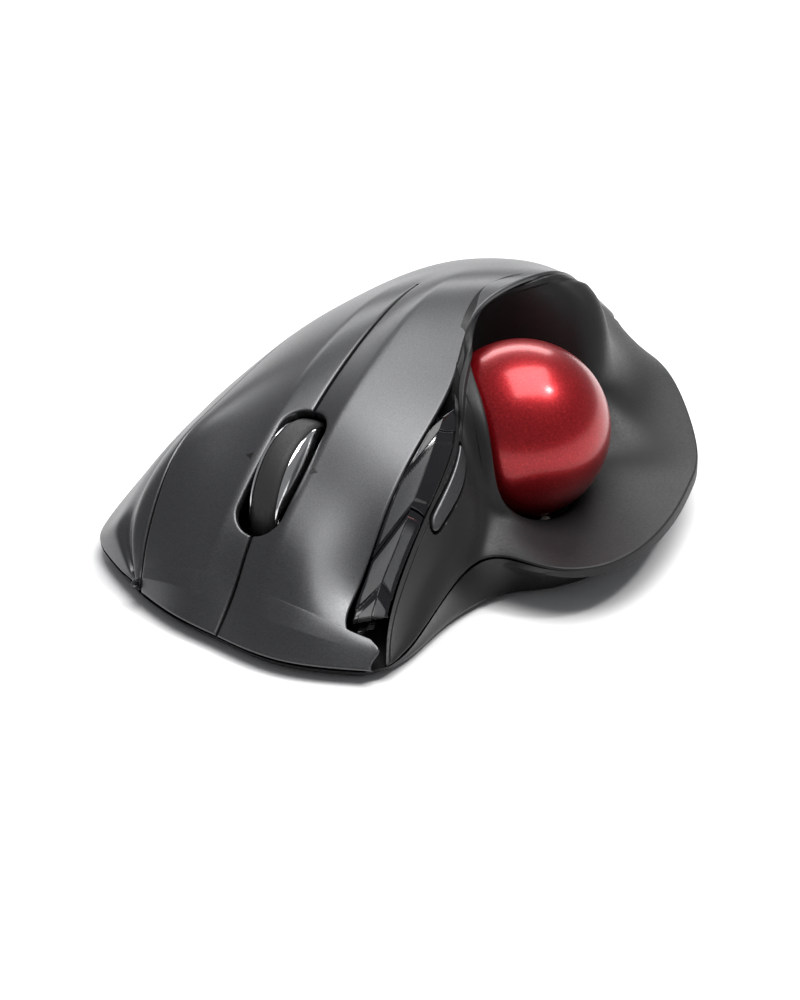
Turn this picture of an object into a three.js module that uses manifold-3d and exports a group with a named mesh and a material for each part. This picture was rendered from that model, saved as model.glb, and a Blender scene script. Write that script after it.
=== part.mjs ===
// Wireless thumb trackball mouse, in millimetres: +X right, +Y front, +Z up.
// The outer skin is two sheets of splines. Each panel is a rectangle of one sheet, given a thickness.
import * as THREE from "three";
import { mergeVertices } from "three/addons/utils/BufferGeometryUtils.js";
import Module from "manifold-3d";

const wasm = await Module();
wasm.setup();

// ---- driving dimensions ----
const SHIFT = [9.75, 13.99, 0];       // moves the design origin to the centre of the footprint
const SKIN = 2.0;                    // shell thickness
const GAP = 0.4;                     // seam between two panels
const RIDGE_X = 6.2;                 // crease between the spine and a finger dish
const RIDGE_RISE = 1.4;
const BROW_ROW = 9.45;               // row of the cover where a finger dish ends above the front face
const BROW_RISE = 0.7;
const FLUTE_DEPTH = 1.3;

const BALL_RADIUS = 17.5;
const BALL_CENTRE = [-29.7, -11.6, 22.3];
const SOCKET_RADIUS = 18.3;

const WHEEL_CENTRE = [0, 24.2, 18.1];
const WHEEL_RADIUS = 14.2;
const TYRE_HALF_WIDTH = 2.5;
const HUB_HALF_WIDTH = 4.7;

const SLOT_CENTRE = [0, 30, 25.5];
const SLOT_SLOPE = 0.54;             // radians that the spine falls towards the front
const SLOT_HALF_WIDTH = 4.9;
const SLOT_HALF_LENGTH = 14.2;

const FLEX_ROW = 3.75;               // row of the cover at which the buttons flex
const FLOOR_LOW = 1.0;
const FLOOR_HIGH = 2.6;
const BOARD_LOW = 5.0;
const BOARD_THICK = 1.6;

const BATTERY_RADIUS = 7.1;
const BATTERY_LENGTH = 49.5;
const BATTERY_CENTRE = [8, -47, 10.6];
const DOOR_SIZE = [18.4, 57];
const RECEIVER_PLUG = [12.0, 4.5, 12.0];

// ---- the cover: rows run rear to front, points run right to left ----
const COVER = [
  [[-10, -86, 5], [-10, -86, 5], [-10, -86, 5], [-10, -86, 5], [-10, -86, 5], [-10, -86, 5], [-10, -86, 5]],
  [[7, -84, 4.5], [7, -81, 12], [3, -79.5, 17], [-2, -78, 19.5],
    [-7.5, -77.5, 20], [-13, -77.8, 18], [-18.5, -79.5, 13]],
  [[25, -72, 4.2], [24.5, -67, 14.5], [18.5, -64, 22], [9, -61.5, 28],
    [-1.5, -61, 31], [-11.5, -61.5, 31], [-20.5, -62.5, 26.5]],
  [[35, -50, 4], [34, -46, 13.5], [25.5, -43, 23], [13, -41, 31.6],
    [0, -40, 37.8], [-11, -40, 40.6], [-22.5, -41, 41.8]],
  [[40, -22, 3.8], [36, -20, 14], [26.5, -20, 24.8], [14, -20, 33.8],
    [0, -20, 41.1], [-9, -20, 42.6], [-17, -20, 42]],
  [[43, 3, 3.6], [35.6, 4, 14.8], [24.4, 4, 26.3], [13, 2, 33.3],
    [0, 0, 38.6], [-11.5, 0, 38.5], [-21.2, 0, 36.8]],
  [[42.3, 18, 3.5], [35, 19, 12.8], [24.1, 17, 25.8], [13, 18, 29.8],
    [0, 18, 32.4], [-12, 18, 32.8], [-23, 19, 31]],
  [[40, 31, 3.5], [32.5, 33, 11.5], [24, 30, 22.9], [12.8, 31, 24.3],
    [0, 31, 24.9], [-12, 31.5, 24.8], [-23, 32.5, 22.3]],
  [[36, 38.5, 3.5], [29.8, 41, 9.5], [23, 41.5, 13.4], [12.5, 42, 16.2],
    [0, 42, 17.6], [-13, 42.5, 17.3], [-23.2, 42, 12.6]],
  [[27.5, 45, 3.6], [24.5, 46.2, 5.4], [21.6, 47, 6.8], [12, 48.5, 10.2],
    [0, 48.5, 9.8], [-14, 50.5, 10.5], [-24.8, 49.6, 8.6]],
  [[20.7, 49.4, 3.4], [20.7, 49.4, 3.4], [20.7, 49.4, 3.4], [11, 53.5, 3.3],
    [0, 56, 3.3], [-15, 58, 3.3], [-32, 53, 3.3]],
];

// ---- the thumb shell: rows run rear to front, points run from the lip out to the wing's rim ----
const THUMB = [
  [[-10, -86, 5], [-10, -86, 5], [-10, -86, 5], [-10, -86, 5], [-10, -86, 5], [-10, -86, 5]],
  [[-18.5, -79.5, 13], [-20, -79, 11.6], [-21.5, -78.8, 10.4],
    [-23, -78.7, 9.2], [-24.2, -78.8, 8], [-24.8, -79.2, 7]],
  [[-20.5, -62.5, 26.5], [-22.5, -62, 22.5], [-25, -62, 18.5],
    [-29, -62.5, 15], [-34, -63, 12.5], [-40, -63, 11]],
  [[-22.5, -41, 41.8], [-28.5, -42, 36.4], [-32, -41, 28],
    [-34, -40, 20], [-42, -40, 13.5], [-55, -40.5, 11.2]],
  [[-17, -28, 42.7], [-14.5, -30, 34.3], [-15, -31, 24], [-20, -30, 15], [-40, -29, 10], [-60, -26, 11.2]],
  [[-17.3, -16, 41.6], [-15, -14.8, 35.5], [-11, -14, 24],
    [-16, -12, 11], [-45, -13, 9.3], [-62.3, -10, 11.2]],
  [[-21.2, 0, 36.8], [-28, 2, 34.8], [-31.3, 5.2, 25.5], [-34.5, 4.2, 14.5], [-47, 1, 9.8], [-60, 7.5, 11.2]],
  [[-24.6, 6, 33.6], [-28.7, 8.2, 28.8], [-31.7, 9.4, 22.5],
    [-34.7, 9.8, 16], [-41, 11, 12.6], [-50, 16.3, 11.2]],
  [[-27.5, 13.5, 28.4], [-31, 15.5, 22.5], [-33.5, 16.5, 17.5],
    [-35, 17, 14], [-36.5, 17.3, 12], [-38.5, 17.3, 10.8]],
  [[-28.5, 28, 20], [-31, 28.5, 17], [-33, 28.8, 14.5], [-34.2, 29, 12.3], [-35, 29, 10.4], [-35.4, 29, 8.6]],
  [[-29.5, 41.5, 9.8], [-31, 42, 8.6], [-32.3, 42.2, 7.5],
    [-33.4, 42.3, 6.4], [-34.2, 42.4, 5.3], [-34.8, 42.4, 4.3]],
  [[-33.3, 50.6, 3.4], [-33.3, 50.6, 3.4], [-33.3, 50.6, 3.4],
    [-33.3, 50.6, 3.4], [-33.3, 50.6, 3.4], [-33.3, 50.6, 3.4]],
];

// ---- vectors and splines ----
const add = (a, b) => a.map((value, i) => value + b[i]);
const sub = (a, b) => a.map((value, i) => value - b[i]);
const scale = (a, k) => a.map((value) => value * k);
const mix = (a, b, t) => a.map((value, i) => value + (b[i] - value) * t);
const cross = (a, b) => [a[1] * b[2] - a[2] * b[1], a[2] * b[0] - a[0] * b[2], a[0] * b[1] - a[1] * b[0]];
const unit = (a) => scale(a, 1 / Math.max(Math.hypot(...a), 1e-9));
const lerp = (a, b, t) => a + (b - a) * t;
const clamp = (value, low, high) => Math.min(Math.max(value, low), high);
const smooth = (low, high, value) => {
  const t = clamp((value - low) / (high - low), 0, 1);
  return t * t * (3 - 2 * t);
};

// second derivatives of the natural cubic spline through points at 0, 1, 2, ...
function bends(points) {
  const last = points.length - 1;
  const out = points.map(() => points[0].map(() => 0));
  for (let axis = 0; axis < points[0].length; axis++) {
    const factor = [0];
    const value = [0];
    for (let i = 1; i < last; i++) {
      const pull = 6 * (points[i + 1][axis] - 2 * points[i][axis] + points[i - 1][axis]);
      const pivot = 4 - factor[i - 1];
      factor.push(1 / pivot);
      value.push((pull - value[i - 1]) / pivot);
    }
    for (let i = last - 1; i > 0; i--) out[i][axis] = value[i] - factor[i] * out[i + 1][axis];
  }
  return out;
}

function onSpline(points, bend, t) {
  const i = Math.floor(clamp(t, 0, points.length - 1.000001));
  const b = t - i;
  const a = 1 - b;
  return points[i].map((value, k) => a * value + b * points[i + 1][k]
    + ((a * a * a - a) * bend[i][k] + (b * b * b - b) * bend[i + 1][k]) / 6);
}

// a smooth sheet through a net of points, with an optional displacement
function makeSheet(rows, shape = (point) => point) {
  const columns = rows[0].map((_, k) => rows.map((row) => row[k]));
  const columnBends = columns.map(bends);
  const at = (u, v) => {
    const row = columns.map((column, k) => onSpline(column, columnBends[k], u));
    return shape(onSpline(row, bends(row), v), u, v);
  };
  const normal = (u, v) => {
    const step = 0.02;
    const uu = clamp(u, 0.12, rows.length - 1.12);
    const vv = clamp(v, step, columns.length - 1 - step);
    return unit(cross(sub(at(uu + step, vv), at(uu - step, vv)), sub(at(uu, vv + step), at(uu, vv - step))));
  };
  return { at, normal, rows: rows.length - 1, columns: columns.length - 1 };
}

// two creased ridges run beside the centre seam, a brow ends each finger dish, and a flute runs down the
// right flank
function creased([x, y, z], u, v) {
  const reach = Math.abs(x) / RIDGE_X;
  const beside = Math.min(reach, Math.exp(-(reach - 1) / 1.5));
  const ridge = beside * smooth(2.9, 4.6, u) * (1 - smooth(9.0, 9.9, u));
  const inDish = smooth(5.5, 8.5, Math.abs(x)) * (1 - smooth(5.0, 5.9, v));
  const brow = Math.max(0, 1 - Math.abs(u - BROW_ROW) / 0.45) * inDish;
  const groove = Math.exp(-(((v - 1.2) / 0.22) ** 2));
  const flute = FLUTE_DEPTH * groove * smooth(4.6, 6.5, u) * (1 - smooth(8.8, 9.6, u));
  const rise = RIDGE_RISE * ridge + BROW_RISE * brow;
  return [x - 0.7 * flute, y - 0.25 * flute, z + rise - 0.65 * flute];
}

const cover = makeSheet(COVER, creased);
const thumb = makeSheet(THUMB);

// ---- meshes ----
const group = new THREE.Group();
group.name = "trackball_mouse";

const PAINT = {
  satin: { color: 0x55575a, roughness: 0.35, metalness: 0.35 },
  matte: { color: 0x2b2b2b, roughness: 0.65, metalness: 0.0 },
  dark: { color: 0x161616, roughness: 0.5, metalness: 0.0 },
  gloss: { color: 0x0b0b0c, roughness: 0.1, metalness: 0.0 },
  red: { color: 0xb01020, roughness: 0.12, metalness: 0.4 },
  rubber: { color: 0x1c1c1b, roughness: 0.8, metalness: 0.0 },
  chrome: { color: 0xc8cacc, roughness: 0.18, metalness: 1.0 },
  steel: { color: 0xa9abad, roughness: 0.35, metalness: 1.0 },
  board: { color: 0x1d4a2a, roughness: 0.55, metalness: 0.0 },
  white: { color: 0xe6e2da, roughness: 0.4, metalness: 0.0 },
  clear: { color: 0xcfd8dd, roughness: 0.1, metalness: 0.0 },
  cell: { color: 0x4d6a52, roughness: 0.4, metalness: 0.1 },
};

function geometryOf(points, triangles) {
  const geometry = new THREE.BufferGeometry();
  geometry.setAttribute("position", new THREE.Float32BufferAttribute(points.flat(), 3));
  geometry.setIndex(triangles.flat());
  return geometry;
}

function solidOf(geometry) {
  const bare = geometry.clone();
  bare.deleteAttribute("normal");
  bare.deleteAttribute("uv");
  const merged = mergeVertices(bare, 1e-4);
  const vertProperties = new Float32Array(merged.attributes.position.array);
  const triVerts = new Uint32Array(merged.index.array);
  return new wasm.Manifold(new wasm.Mesh({ numProp: 3, vertProperties, triVerts }));
}

function geometryFrom(solid) {
  const mesh = solid.getMesh();
  const geometry = new THREE.BufferGeometry();
  geometry.setAttribute("position", new THREE.Float32BufferAttribute(mesh.vertProperties, 3));
  geometry.setIndex(Array.from(mesh.triVerts));
  return geometry;
}

function place(name, geometry, paint) {
  const material = new THREE.MeshStandardMaterial({ ...PAINT[paint], flatShading: true });
  const mesh = new THREE.Mesh(geometry, material);
  mesh.name = name;
  mesh.position.set(...SHIFT);
  group.add(mesh);
}

const placeSolid = (name, solid, paint) => place(name, geometryFrom(solid), paint);

// closes two matching grids of points, outer and inner, into one solid
function closeGrid(outer, inner) {
  const rows = outer.length;
  const columns = outer[0].length;
  const points = [...outer.flat(), ...inner.flat()];
  const top = (i, j) => i * columns + j;
  const low = (i, j) => rows * columns + i * columns + j;
  const triangles = [];
  const quad = (a, b, c, d) => triangles.push([a, c, b], [a, d, c]);
  for (let i = 0; i < rows - 1; i++) {
    for (let j = 0; j < columns - 1; j++) {
      quad(top(i, j), top(i, j + 1), top(i + 1, j + 1), top(i + 1, j));
      quad(low(i, j), low(i + 1, j), low(i + 1, j + 1), low(i, j + 1));
    }
    quad(top(i, 0), top(i + 1, 0), low(i + 1, 0), low(i, 0));
    quad(top(i, columns - 1), low(i, columns - 1), low(i + 1, columns - 1), top(i + 1, columns - 1));
  }
  for (let j = 0; j < columns - 1; j++) {
    quad(top(0, j), low(0, j), low(0, j + 1), top(0, j + 1));
    quad(top(rows - 1, j), top(rows - 1, j + 1), low(rows - 1, j + 1), low(rows - 1, j));
  }
  return geometryOf(points, triangles);
}

// parameters from low to high, drawn in by half a seam at both ends
function across(low, high, count, speedLow, speedHigh, gapLow, gapHigh) {
  const span = high - low;
  const start = low + Math.min(gapLow / Math.max(speedLow, 0.01), span * 0.3);
  const end = high - Math.min(gapHigh / Math.max(speedHigh, 0.01), span * 0.3);
  return Array.from({ length: count + 1 }, (_, k) => lerp(start, end, k / count));
}

// a panel of a sheet between rows [u0, u1] and columns [v0, v1]
function panel(sheet, [from, to], [v0, side], [countU, countV], options = {}) {
  const { lift = 0, thick = SKIN, gaps = [GAP / 2, GAP / 2, GAP / 2, GAP / 2] } = options;
  const step = 0.01;
  const speed = (u, v, du, dv) => Math.hypot(...sub(sheet.at(u + du, v + dv), sheet.at(u, v))) / step;
  const outer = [];
  const inner = [];
  const limit = (bound, v) => (typeof bound === "function" ? bound(v) : bound);
  for (let i = 0; i <= countU; i++) {
    const rough = lerp(limit(from, v0), limit(to, v0), i / countU);
    const v1 = limit(side, rough);
    const startSpeed = speed(rough, v0, 0, step);
    const endSpeed = speed(rough, v1 - step, 0, step);
    const vs = across(v0, v1, countV, startSpeed, endSpeed, gaps[2], gaps[3]);
    const top = [];
    const low = [];
    for (const v of vs) {
      const u0 = limit(from, v);
      const u1 = limit(to, v);
      const us = across(u0, u1, countU, speed(u0, v, step, 0), speed(u1 - step, v, step, 0), gaps[0], gaps[1]);
      const point = sheet.at(us[i], v);
      const normal = sheet.normal(us[i], v);
      top.push(add(point, scale(normal, lift)));
      low.push(add(point, scale(normal, lift - thick)));
    }
    outer.push(top);
    inner.push(low);
  }
  return closeGrid(outer, inner);
}

// ---- plain solids ----
function box(size, centre, turn = [0, 0, 0]) {
  const geometry = new THREE.BoxGeometry(...size);
  geometry.applyMatrix4(new THREE.Matrix4().makeRotationFromEuler(new THREE.Euler(...turn)));
  return geometry.translate(...centre);
}

function rod(radius, length, centre, axis = "z", sides = 20) {
  const geometry = new THREE.CylinderGeometry(radius, radius, length, sides);
  if (axis === "z") geometry.rotateX(Math.PI / 2);
  if (axis === "x") geometry.rotateZ(Math.PI / 2);
  return geometry.translate(...centre);
}

function stadium(halfLength, halfWidth, depth, sides = 8) {
  const shape = new THREE.Shape();
  const straight = halfLength - halfWidth;
  shape.absarc(0, straight, halfWidth, 0, Math.PI, false);
  shape.absarc(0, -straight, halfWidth, Math.PI, 2 * Math.PI, false);
  shape.closePath();
  return new THREE.ExtrudeGeometry(shape, { depth, bevelEnabled: false, curveSegments: sides });
}

function slab(points, low, high) {
  const shape = new THREE.Shape(points.map(([x, y]) => new THREE.Vector2(x, y)));
  const geometry = new THREE.ExtrudeGeometry(shape, { depth: high - low, bevelEnabled: false });
  return geometry.translate(0, 0, low);
}

function turned(profile, sides = 32) {
  const points = profile.map(([radius, height]) => new THREE.Vector2(radius, height));
  return new THREE.LatheGeometry(points, sides);
}

const cut = (solid, ...geometries) => geometries.reduce((rest, item) => rest.subtract(solidOf(item)), solid);
const join = (first, ...others) => others.reduce((rest, item) => rest.add(solidOf(item)), solidOf(first));
const ballShape = (radius, wide, high) => new THREE.SphereGeometry(radius, wide, high).rotateX(Math.PI / 2)
  .translate(...BALL_CENTRE);

// the space of a whole sheet plus a little clearance, to cut its neighbours back
const CLEARANCE = { lift: 0.3, thick: SKIN + 0.6, gaps: [-0.3, -0.3, -0.3, -0.3] };
const coverRoom = panel(cover, [0.1, 10], [0, 6], [30, 14], CLEARANCE);
const thumbRoom = panel(thumb, [0.1, 10.9], [0, 5], [34, 10], CLEARANCE);
const BUTTON_DIP = 0.7;              // how far a button's front edge moves down when it is pressed
const buttonRoom = panel(cover, [FLEX_ROW, 10], [2, 6], [24, 12], {
  lift: 0.3,
  thick: SKIN + 0.6 + BUTTON_DIP,
  gaps: [0, -2.2, -0.6, -0.6],
});
const aboveCover = panel(cover, [0.1, 10], [0, 6], [30, 14], { ...CLEARANCE, lift: 3, thick: SKIN + 3.3 });

// ---- the grey cover and its two buttons ----
function slotCutter() {
  const geometry = stadium(SLOT_HALF_LENGTH, SLOT_HALF_WIDTH, 20, 7);
  geometry.translate(0, 0, -13);
  geometry.rotateX(-SLOT_SLOPE);
  return geometry.translate(...SLOT_CENTRE);
}

// the left button's front corner reaches out past the column that the side keys end on
const CORNER_ROW = 9.02;
const CORNER_REACH = 0.45;
const cornerEdge = (u) => 6 + CORNER_REACH * (1 - smooth(9.2, 10, u));

function makeCover() {
  const whole = panel(cover, [0.14, 10], [0, 6], [30, 16], { gaps: [0, 0.2, 0.3, GAP / 2] });
  const buttons = { lift: 4, thick: 10, gaps: [0, -2, 0, -2] };
  const opening = panel(cover, [FLEX_ROW, 10], [2, 6], [20, 14], buttons);
  placeSolid("palm_cover", cut(solidOf(whole), opening), "satin");
  const slot = slotCutter();
  const otherSide = (sign) => box([60, 120, 80], [sign * (30 - GAP / 2), 20, 25]);
  const right = panel(cover, [FLEX_ROW, 10], [2, 4], [20, 7], { gaps: [0.4, 0.2, 0.45, 0] });
  const left = panel(cover, [FLEX_ROW, 10], [4, cornerEdge], [24, 8], { gaps: [0.4, 0.2, 0, GAP / 2] });
  const clearance = { lift: 4, thick: 10, gaps: [0, -0.25, -GAP / 2, 0] };
  const notch = panel(cover, [3, CORNER_ROW], [6, 6.8], [24, 2], clearance);
  placeSolid("right_button", cut(solidOf(right), slot, otherSide(-1)), "satin");
  placeSolid("left_button", cut(solidOf(left), slot, otherSide(1), notch), "satin");
}

// ---- thumb shell, with the ball's opening and the slit of the pointer speed key ----
const KEY_ROWS = [7.5, 8.85];
const KEY_COLUMNS = [0.3, 0.9];

function makeThumbShell() {
  const skin = panel(thumb, [0.14, 10.9], [0, 5], [34, 13], { gaps: [0, 0, GAP / 2, 0.3] });
  const around = { lift: 3, thick: 9, gaps: [-0.7, -0.5, -0.5, -0.5] };
  const slit = panel(thumb, KEY_ROWS, KEY_COLUMNS, [6, 2], around);
  placeSolid("thumb_shell", cut(solidOf(skin), aboveCover, ballShape(SOCKET_RADIUS, 28, 16), slit), "matte");
  const proud = { lift: 0.2, thick: 1.4, gaps: [0.1, 0.1, 0.1, 0.1] };
  const key = panel(thumb, KEY_ROWS, KEY_COLUMNS, [6, 2], proud);
  place("pointer_speed_button", key, "satin");
}

// ---- the glossy inset between the left button and the thumb shell ----
const INSET_RAIL_COVER = [5.25, 8.98];
const INSET_RAIL_THUMB = [6.35, 10.35];
const INSET_BULGE = 1.0;
const KEY_SPLIT = (v) => 3.15 + 0.6 * Math.abs(v - 1);   // the seam runs back to the ridge in a shallow arrow

function insetSheet() {
  const rows = [];
  for (let k = 0; k <= 6; k++) {
    const upper = cover.at(lerp(...INSET_RAIL_COVER, k / 6), 6);
    const lower = thumb.at(lerp(...INSET_RAIL_THUMB, k / 6), 0);
    const middle = add(mix(upper, lower, 0.5), scale([-0.62, 0.2, 0.76], INSET_BULGE));
    rows.push([upper, middle, lower]);
  }
  return makeSheet(rows);
}

function makeInset() {
  const inset = insetSheet();
  const spread = { thick: 1.4, gaps: [GAP / 2, GAP / 2, GAP / 2, GAP / 2] };
  const key = (rows, count) => {
    const whole = solidOf(panel(inset, rows, [0, 2], [count, 4], spread));
    return cut(whole, coverRoom, thumbRoom);
  };
  placeSolid("back_button", key([0.8, KEY_SPLIT], 8), "gloss");
  placeSolid("forward_button", key([KEY_SPLIT, 5.7], 9), "gloss");
  const backing = { lift: -2.6, thick: 1.2, gaps: [0, 0, 1.6, 1.6] };
  const trim = solidOf(panel(inset, [0.7, 5.9], [0, 2], [10, 2], backing));
  placeSolid("side_trim", cut(trim, coverRoom, thumbRoom, buttonRoom), "dark");
}

// ---- bottom case: a tray whose wall follows the rims of both sheets ----
const BASE_LEFT = [
  [-12, -82], [-22, -76.5], [-34, -61], [-47, -40], [-52.5, -26], [-54.5, -12],
  [-51, 1.5], [-45, 9.5], [-38.8, 15.8],
  [-35.2, 28], [-34.4, 41], [-32.6, 49],
];

function wallStations() {
  const stations = [];
  const drawn = (point, depth) => {
    const middle = [-4, clamp(point[1], -50, 26), point[2]];
    return add(point, scale(unit(sub(middle, point)), depth));
  };
  for (let k = 0; k <= 22; k++) {
    const rim = cover.at(lerp(0.2, 9.9, k / 22), 0);
    stations.push([rim, drawn(rim, 1.3)]);
  }
  for (let k = 1; k <= 11; k++) {
    const rim = cover.at(10, lerp(2.3, 5.9, k / 11));
    stations.push([rim, drawn(rim, 1.3)]);
  }
  const base = BASE_LEFT.map(([x, y]) => [x, y, 0]);
  const bend = bends(base);
  for (let k = 0; k <= 30; k++) {
    const u = lerp(10.85, 0.25, k / 30);
    stations.push([thumb.at(u, 5), onSpline(base, bend, u)]);
  }
  return stations;
}

function tray() {
  const stations = wallStations();
  const rings = stations.map(([rim, base]) => {
    const inward = unit([-4 - rim[0], clamp(rim[1], -50, 26) - rim[1], 0]);
    const top = add([rim[0], rim[1], rim[2] - 0.5], scale(inward, 0.35));
    const foot = [base[0], base[1], FLOOR_LOW];
    const innerTop = add(top, scale(inward, 1.8));
    const innerFoot = add([base[0], base[1], FLOOR_HIGH], scale(inward, 2.6));
    innerTop[2] = Math.max(innerTop[2] - 1.2, FLOOR_HIGH + 0.1);
    return [foot, top, innerTop, innerFoot];
  });
  const count = rings.length;
  const points = rings.flat();
  points.push([0, -15, FLOOR_LOW], [0, -15, FLOOR_HIGH]);
  const triangles = [];
  for (let k = 0; k < count; k++) {
    const n = ((k + 1) % count) * 4;
    const m = k * 4;
    for (let j = 0; j < 3; j++) triangles.push([m + j, n + j, n + j + 1], [m + j, n + j + 1, m + j + 1]);
    triangles.push([m, count * 4, n], [m + 3, n + 3, count * 4 + 1]);
  }
  return geometryOf(points, triangles);
}

const BOARD_POSTS = [[18, 38], [-15, 39], [16, -13], [2, -13]];
const SHELL_SCREWS = [[26, 6], [-22, 34], [25, -60]];
const POWER_HOLE = [-14, -50];
const RECEIVER_BAY = [28.4, -12];
const RECEIVER_LENGTH = 18.5;

function makeBottomCase() {
  const postHeight = BOARD_LOW - 0.3 - 2;
  const [batteryX, batteryY] = BATTERY_CENTRE;
  const bosses = [
    ...BOARD_POSTS.map(([x, y]) => rod(2.2, postHeight, [x, y, 2 + postHeight / 2], "z", 12)),
    ...SHELL_SCREWS.map(([x, y]) => rod(3, 7.4, [x, y, 5.7], "z", 12)),
    box([1.4, 50, 9], [batteryX - 10.2, batteryY, 6.5]),
    box([1.4, 50, 9], [batteryX + 10.2, batteryY, 6.5]),
  ];
  const bay = box([17.8, 22.8, 5.8], [...RECEIVER_BAY, 4.9]);
  const bayHollow = box([15.2, 20, 12], [...RECEIVER_BAY, 0.9]);
  const doorway = box([DOOR_SIZE[0], DOOR_SIZE[1], 6], [batteryX, batteryY, 1.8]);
  const switchHole = box([9, 4.6, 6], [...POWER_HOLE, 1.8]);
  const holes = SHELL_SCREWS.map(([x, y]) => rod(1.7, 12, [x, y, 4], "z", 12));
  const wells = SHELL_SCREWS.map(([x, y]) => rod(2.7, 4.6, [x, y, 1], "z", 12));
  const body = cut(join(tray(), ...bosses, bay), coverRoom, thumbRoom, buttonRoom);
  const solid = cut(body, bayHollow, doorway, switchHole, ...holes, ...wells);
  placeSolid("bottom_case", solid, "dark");
  SHELL_SCREWS.forEach(([x, y], k) => {
    const head = rod(2.3, 1.4, [x, y, 2.4], "z", 12);
    placeSolid(`case_screw_${k + 1}`, join(head, rod(1.35, 8, [x, y, 6], "z", 12)), "steel");
  });
}

// ---- feet ----
const FEET = {
  front: [0, 44, 13, 3.2, 90],
  right: [33.5, 12, 8, 3, 0],
  left: [-43, -14, 9, 3, 0],
  rear: [-8, -76.2, 5, 2.4, 90],
};

function makeFeet() {
  Object.entries(FEET).forEach(([side, [x, y, halfLength, halfWidth, turn]]) => {
    const pad = stadium(halfLength, halfWidth, 0.7, 7).rotateZ(THREE.MathUtils.degToRad(turn));
    place(`foot_${side}`, geometryFrom(solidOf(pad.translate(x, y, 0))), "rubber");
  });
}

// ---- scroll wheel, its tilting carrier and the cradle that is pressed ----
const PIVOT_Y = 4.6;
const PIVOT_Z = 14;

function makeWheel() {
  const onAxle = (geometry) => geometry.rotateZ(-Math.PI / 2).translate(...WHEEL_CENTRE);
  const wide = TYRE_HALF_WIDTH;
  const tyre = [
    [11.6, -wide], [13.4, -wide], [14, -wide + 0.6],
    [WHEEL_RADIUS, 0],
    [14, wide - 0.6], [13.4, wide], [11.6, wide],
    [11.6, -wide],
  ];
  place("scroll_tyre", geometryFrom(solidOf(onAxle(turned(tyre, 40)))), "rubber");
  [["right", 1], ["left", -1]].forEach(([side, sign]) => {
    const dome = [[1.9, 0.2], [11.3, 0.2], [11.3, wide + 0.3], [13.5, wide + 0.3], [13.3, wide + 0.7],
      [11.5, 4.0],
      [8, 4.5], [1.9, HUB_HALF_WIDTH], [1.9, 0.2]];
    const profile = dome.map(([radius, out]) => [radius, sign * out]);
    if (sign < 0) profile.reverse();
    place(`wheel_hub_${side}`, geometryFrom(solidOf(onAxle(turned(profile, 32)))), "chrome");
  });
  place("wheel_axle", geometryFrom(solidOf(rod(1.5, 15.4, WHEEL_CENTRE, "x", 16))), "steel");
}

function makeCarrier() {
  const arm = (side) => box([1.5, 20.5, 5], [side * 5.7, 17.2, 17]);
  const bar = box([12.9, 1.9, 8], [0, 7.75, 15.5]);
  const bores = rod(1.85, 20, WHEEL_CENTRE, "x", 16);
  placeSolid("wheel_carrier", cut(join(arm(1), arm(-1), bar), bores), "dark");
  const block = box([12, 3, 7], [0, PIVOT_Y, PIVOT_Z]);
  const foot = box([4, 6, 1.4], [0, PIVOT_Y - 3.5, PIVOT_Z - 1.9]);
  placeSolid("wheel_cradle", join(block, foot, rod(1, 18, [0, PIVOT_Y, PIVOT_Z], "x", 12)), "dark");
}

// ---- boards, switches and encoder ----
function makeElectronics() {
  const outline = [[-18, 14], [-18, 42], [-7.8, 42], [-7.8, 9], [7.8, 9], [7.8, 42], [20, 42],
    [21.5, 30], [21.5, 1], [18.8, 0], [18.8, -16.5],
    [-6.5, -16.5], [-6.5, 6]];
  place("main_board", slab(outline, BOARD_LOW, BOARD_LOW + BOARD_THICK), "board");
  const top = BOARD_LOW + BOARD_THICK + 0.3;
  const part = (name, size, x, y, paint) => place(name, box(size, [x, y, top + size[2] / 2]), paint);
  part("right_switch", [5.8, 12.8, 6.4], 13.5, 32, "dark");
  part("left_switch", [5.8, 12.8, 6.4], -13.5, 30, "dark");
  part("middle_switch", [6, 6, 3.6], 0, -1, "dark");
  part("wheel_encoder", [4, 9, 13], 11.2, 20, "dark");
  place("side_board", box([1.2, 23, 7], [-15.6, 18.5, 19]), "board");
  place("back_switch", box([3, 5, 3.4], [-18, 17, 19]), "dark");
  place("forward_switch", box([3, 5, 3.4], [-18, 29, 18]), "dark");
}

// ---- ball seat, support beads and sensor ----
const BEAD_RADIUS = 1.2;
const BEAD_TILT = 0.52;

function beadCentre(k) {
  const around = (k / 3) * 2 * Math.PI + 0.5;
  const reach = BALL_RADIUS + BEAD_RADIUS + 0.1;
  const flat = reach * Math.sin(BEAD_TILT);
  const down = reach * Math.cos(BEAD_TILT);
  return add(BALL_CENTRE, [flat * Math.cos(around), flat * Math.sin(around), -down]);
}

function bead(k, radius) {
  const geometry = new THREE.SphereGeometry(radius, 10, 8).rotateX(Math.PI / 2);
  return geometry.translate(...beadCentre(k));
}

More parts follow.
